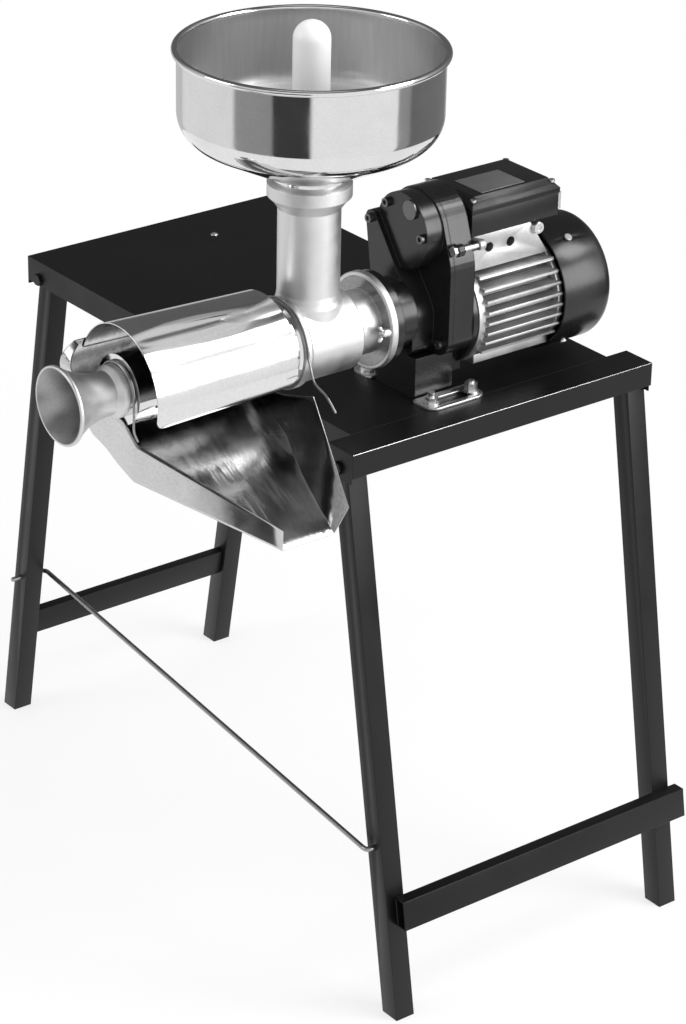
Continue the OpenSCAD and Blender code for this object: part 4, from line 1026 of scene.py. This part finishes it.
amount = add(tree, "ShaderNodeMath", operation="MAXIMUM")
link(tree, direct, "Value", amount, 0)
link(tree, mirrored, "Value", amount, 1)
mixed = add(tree, "ShaderNodeMixShader")
link(tree, amount, "Value", mixed, 0)
tree.links.new(matt.outputs[0], mixed.inputs[1])
tree.links.new(glow.outputs[0], mixed.inputs[2])
link(tree, mixed, "Shader", out, "Surface")
floor_mesh.materials.append(floor_mat)

# Room: white to the camera and through glass, even light for matt surfaces, and walls for mirrors
world = bpy.data.worlds.new("studio")
scene.world = world
world.use_nodes = True
tree = world.node_tree
tree.nodes.clear()
out = add(tree, "ShaderNodeOutputWorld")
coord = add(tree, "ShaderNodeTexCoord")
split = add(tree, "ShaderNodeSeparateXYZ")
link(tree, coord, "Generated", split, "Vector")
turn = add(tree, "ShaderNodeMath", operation="ARCTAN2")
link(tree, split, "Y", turn, 0)
link(tree, split, "X", turn, 1)
share = add(tree, "ShaderNodeMapRange")
share.inputs["From Min"].default_value = -math.pi
share.inputs["From Max"].default_value = math.pi
link(tree, turn, "Value", share, "Value")


def wall_ramp(stops):
    """Brightness by compass direction, given in degrees."""
    made = add(tree, "ShaderNodeValToRGB")
    ramp = made.color_ramp
    while len(ramp.elements) < len(stops):
        ramp.elements.new(0.5)
    for element, (degrees, value) in zip(ramp.elements, stops):
        element.position = (degrees + 180) / 360
        element.color = (value, value, value, 1)
    link(tree, share, "Result", made, "Fac")
    return made


def by_height(below, above, low, high):
    """Change from one colour to another between two elevations in degrees."""
    step = add(tree, "ShaderNodeMapRange", interpolation_type="SMOOTHSTEP")
    step.inputs["From Min"].default_value = math.sin(math.radians(low))
    step.inputs["From Max"].default_value = math.sin(math.radians(high))
    link(tree, split, "Z", step, "Value")
    made = add(tree, "ShaderNodeMix", data_type="RGBA")
    link(tree, step, "Result", made, 0)
    for socket, source in ((6, below), (7, above)):
        if isinstance(source, float):
            made.inputs[socket].default_value = (source, source, source, 1)
        else:
            tree.links.new(source, made.inputs[socket])
    return made.outputs[2]


# Pale walls, a doorway and grey screens, mirrored by what faces sideways
lower = wall_ramp([(-180, 0.75), (-171, 0.85), (-108, 0.85), (-104, 0.33), (-71, 0.3), (-69, 0.05),
                   (-39, 0.05), (-36, 0.97), (40.5, 0.97), (42.5, 0.35), (54, 0.3), (58, 0.16), (120, 0.2),
                   (132, 0.5), (176, 0.6)])
upper = wall_ramp([(-180, 0.14), (-150, 0.5), (-100, 0.7), (-60, 0.85), (-30, 0.97), (64, 1.0), (72, 0.5),
                   (104, 0.2), (125, 0.12), (179, 0.12)])
walls = by_height(lower.outputs["Color"], upper.outputs["Color"], -4, 2)
room = by_height(by_height(walls, 0.12, 36, 45), 0.66, 68, 80)
path_node = add(tree, "ShaderNodeLightPath")
plain = add(tree, "ShaderNodeMix", data_type="RGBA")
plain.inputs[6].default_value = (0.8, 0.8, 0.8, 1)
tree.links.new(room, plain.inputs[7])
link(tree, path_node, "Is Glossy Ray", plain, 0)
white = add(tree, "ShaderNodeMix", data_type="RGBA")
white.inputs[7].default_value = (1, 1, 1, 1)
tree.links.new(plain.outputs[2], white.inputs[6])
clear = add(tree, "ShaderNodeMath", operation="MAXIMUM")
link(tree, path_node, "Is Camera Ray", clear, 0)
link(tree, path_node, "Is Transmission Ray", clear, 1)
link(tree, clear, "Value", white, 0)
background = add(tree, "ShaderNodeBackground")
tree.links.new(white.outputs[2], background.inputs["Color"])
link(tree, background, "Background", out, "Surface")


def lamp(name, azimuth, elevation, distance, size, watts, target=(0.15, 0.0, 0.75)):
    """Soft panel that looks at a target from a compass direction and an elevation in degrees."""
    data = bpy.data.lights.new(name, "AREA")
    data.shape = "RECTANGLE"
    data.size, data.size_y = size
    data.energy = watts
    obj = bpy.data.objects.new(name, data)
    a, e = math.radians(azimuth), math.radians(elevation)
    way = Vector((math.cos(e) * math.cos(a), math.cos(e) * math.sin(a), math.sin(e)))
    obj.location = Vector(target) + distance * way
    obj.rotation_euler = way.to_track_quat("Z", "Y").to_euler()
    scene.collection.objects.link(obj)


lamp("key", 30, 14, 2.7, (1.5, 1.5), 40)
lamp("left", -115, 24, 2.8, (1.2, 1.2), 16)
lamp("edge", 48, 46, 2.7, (0.9, 0.9), 24)
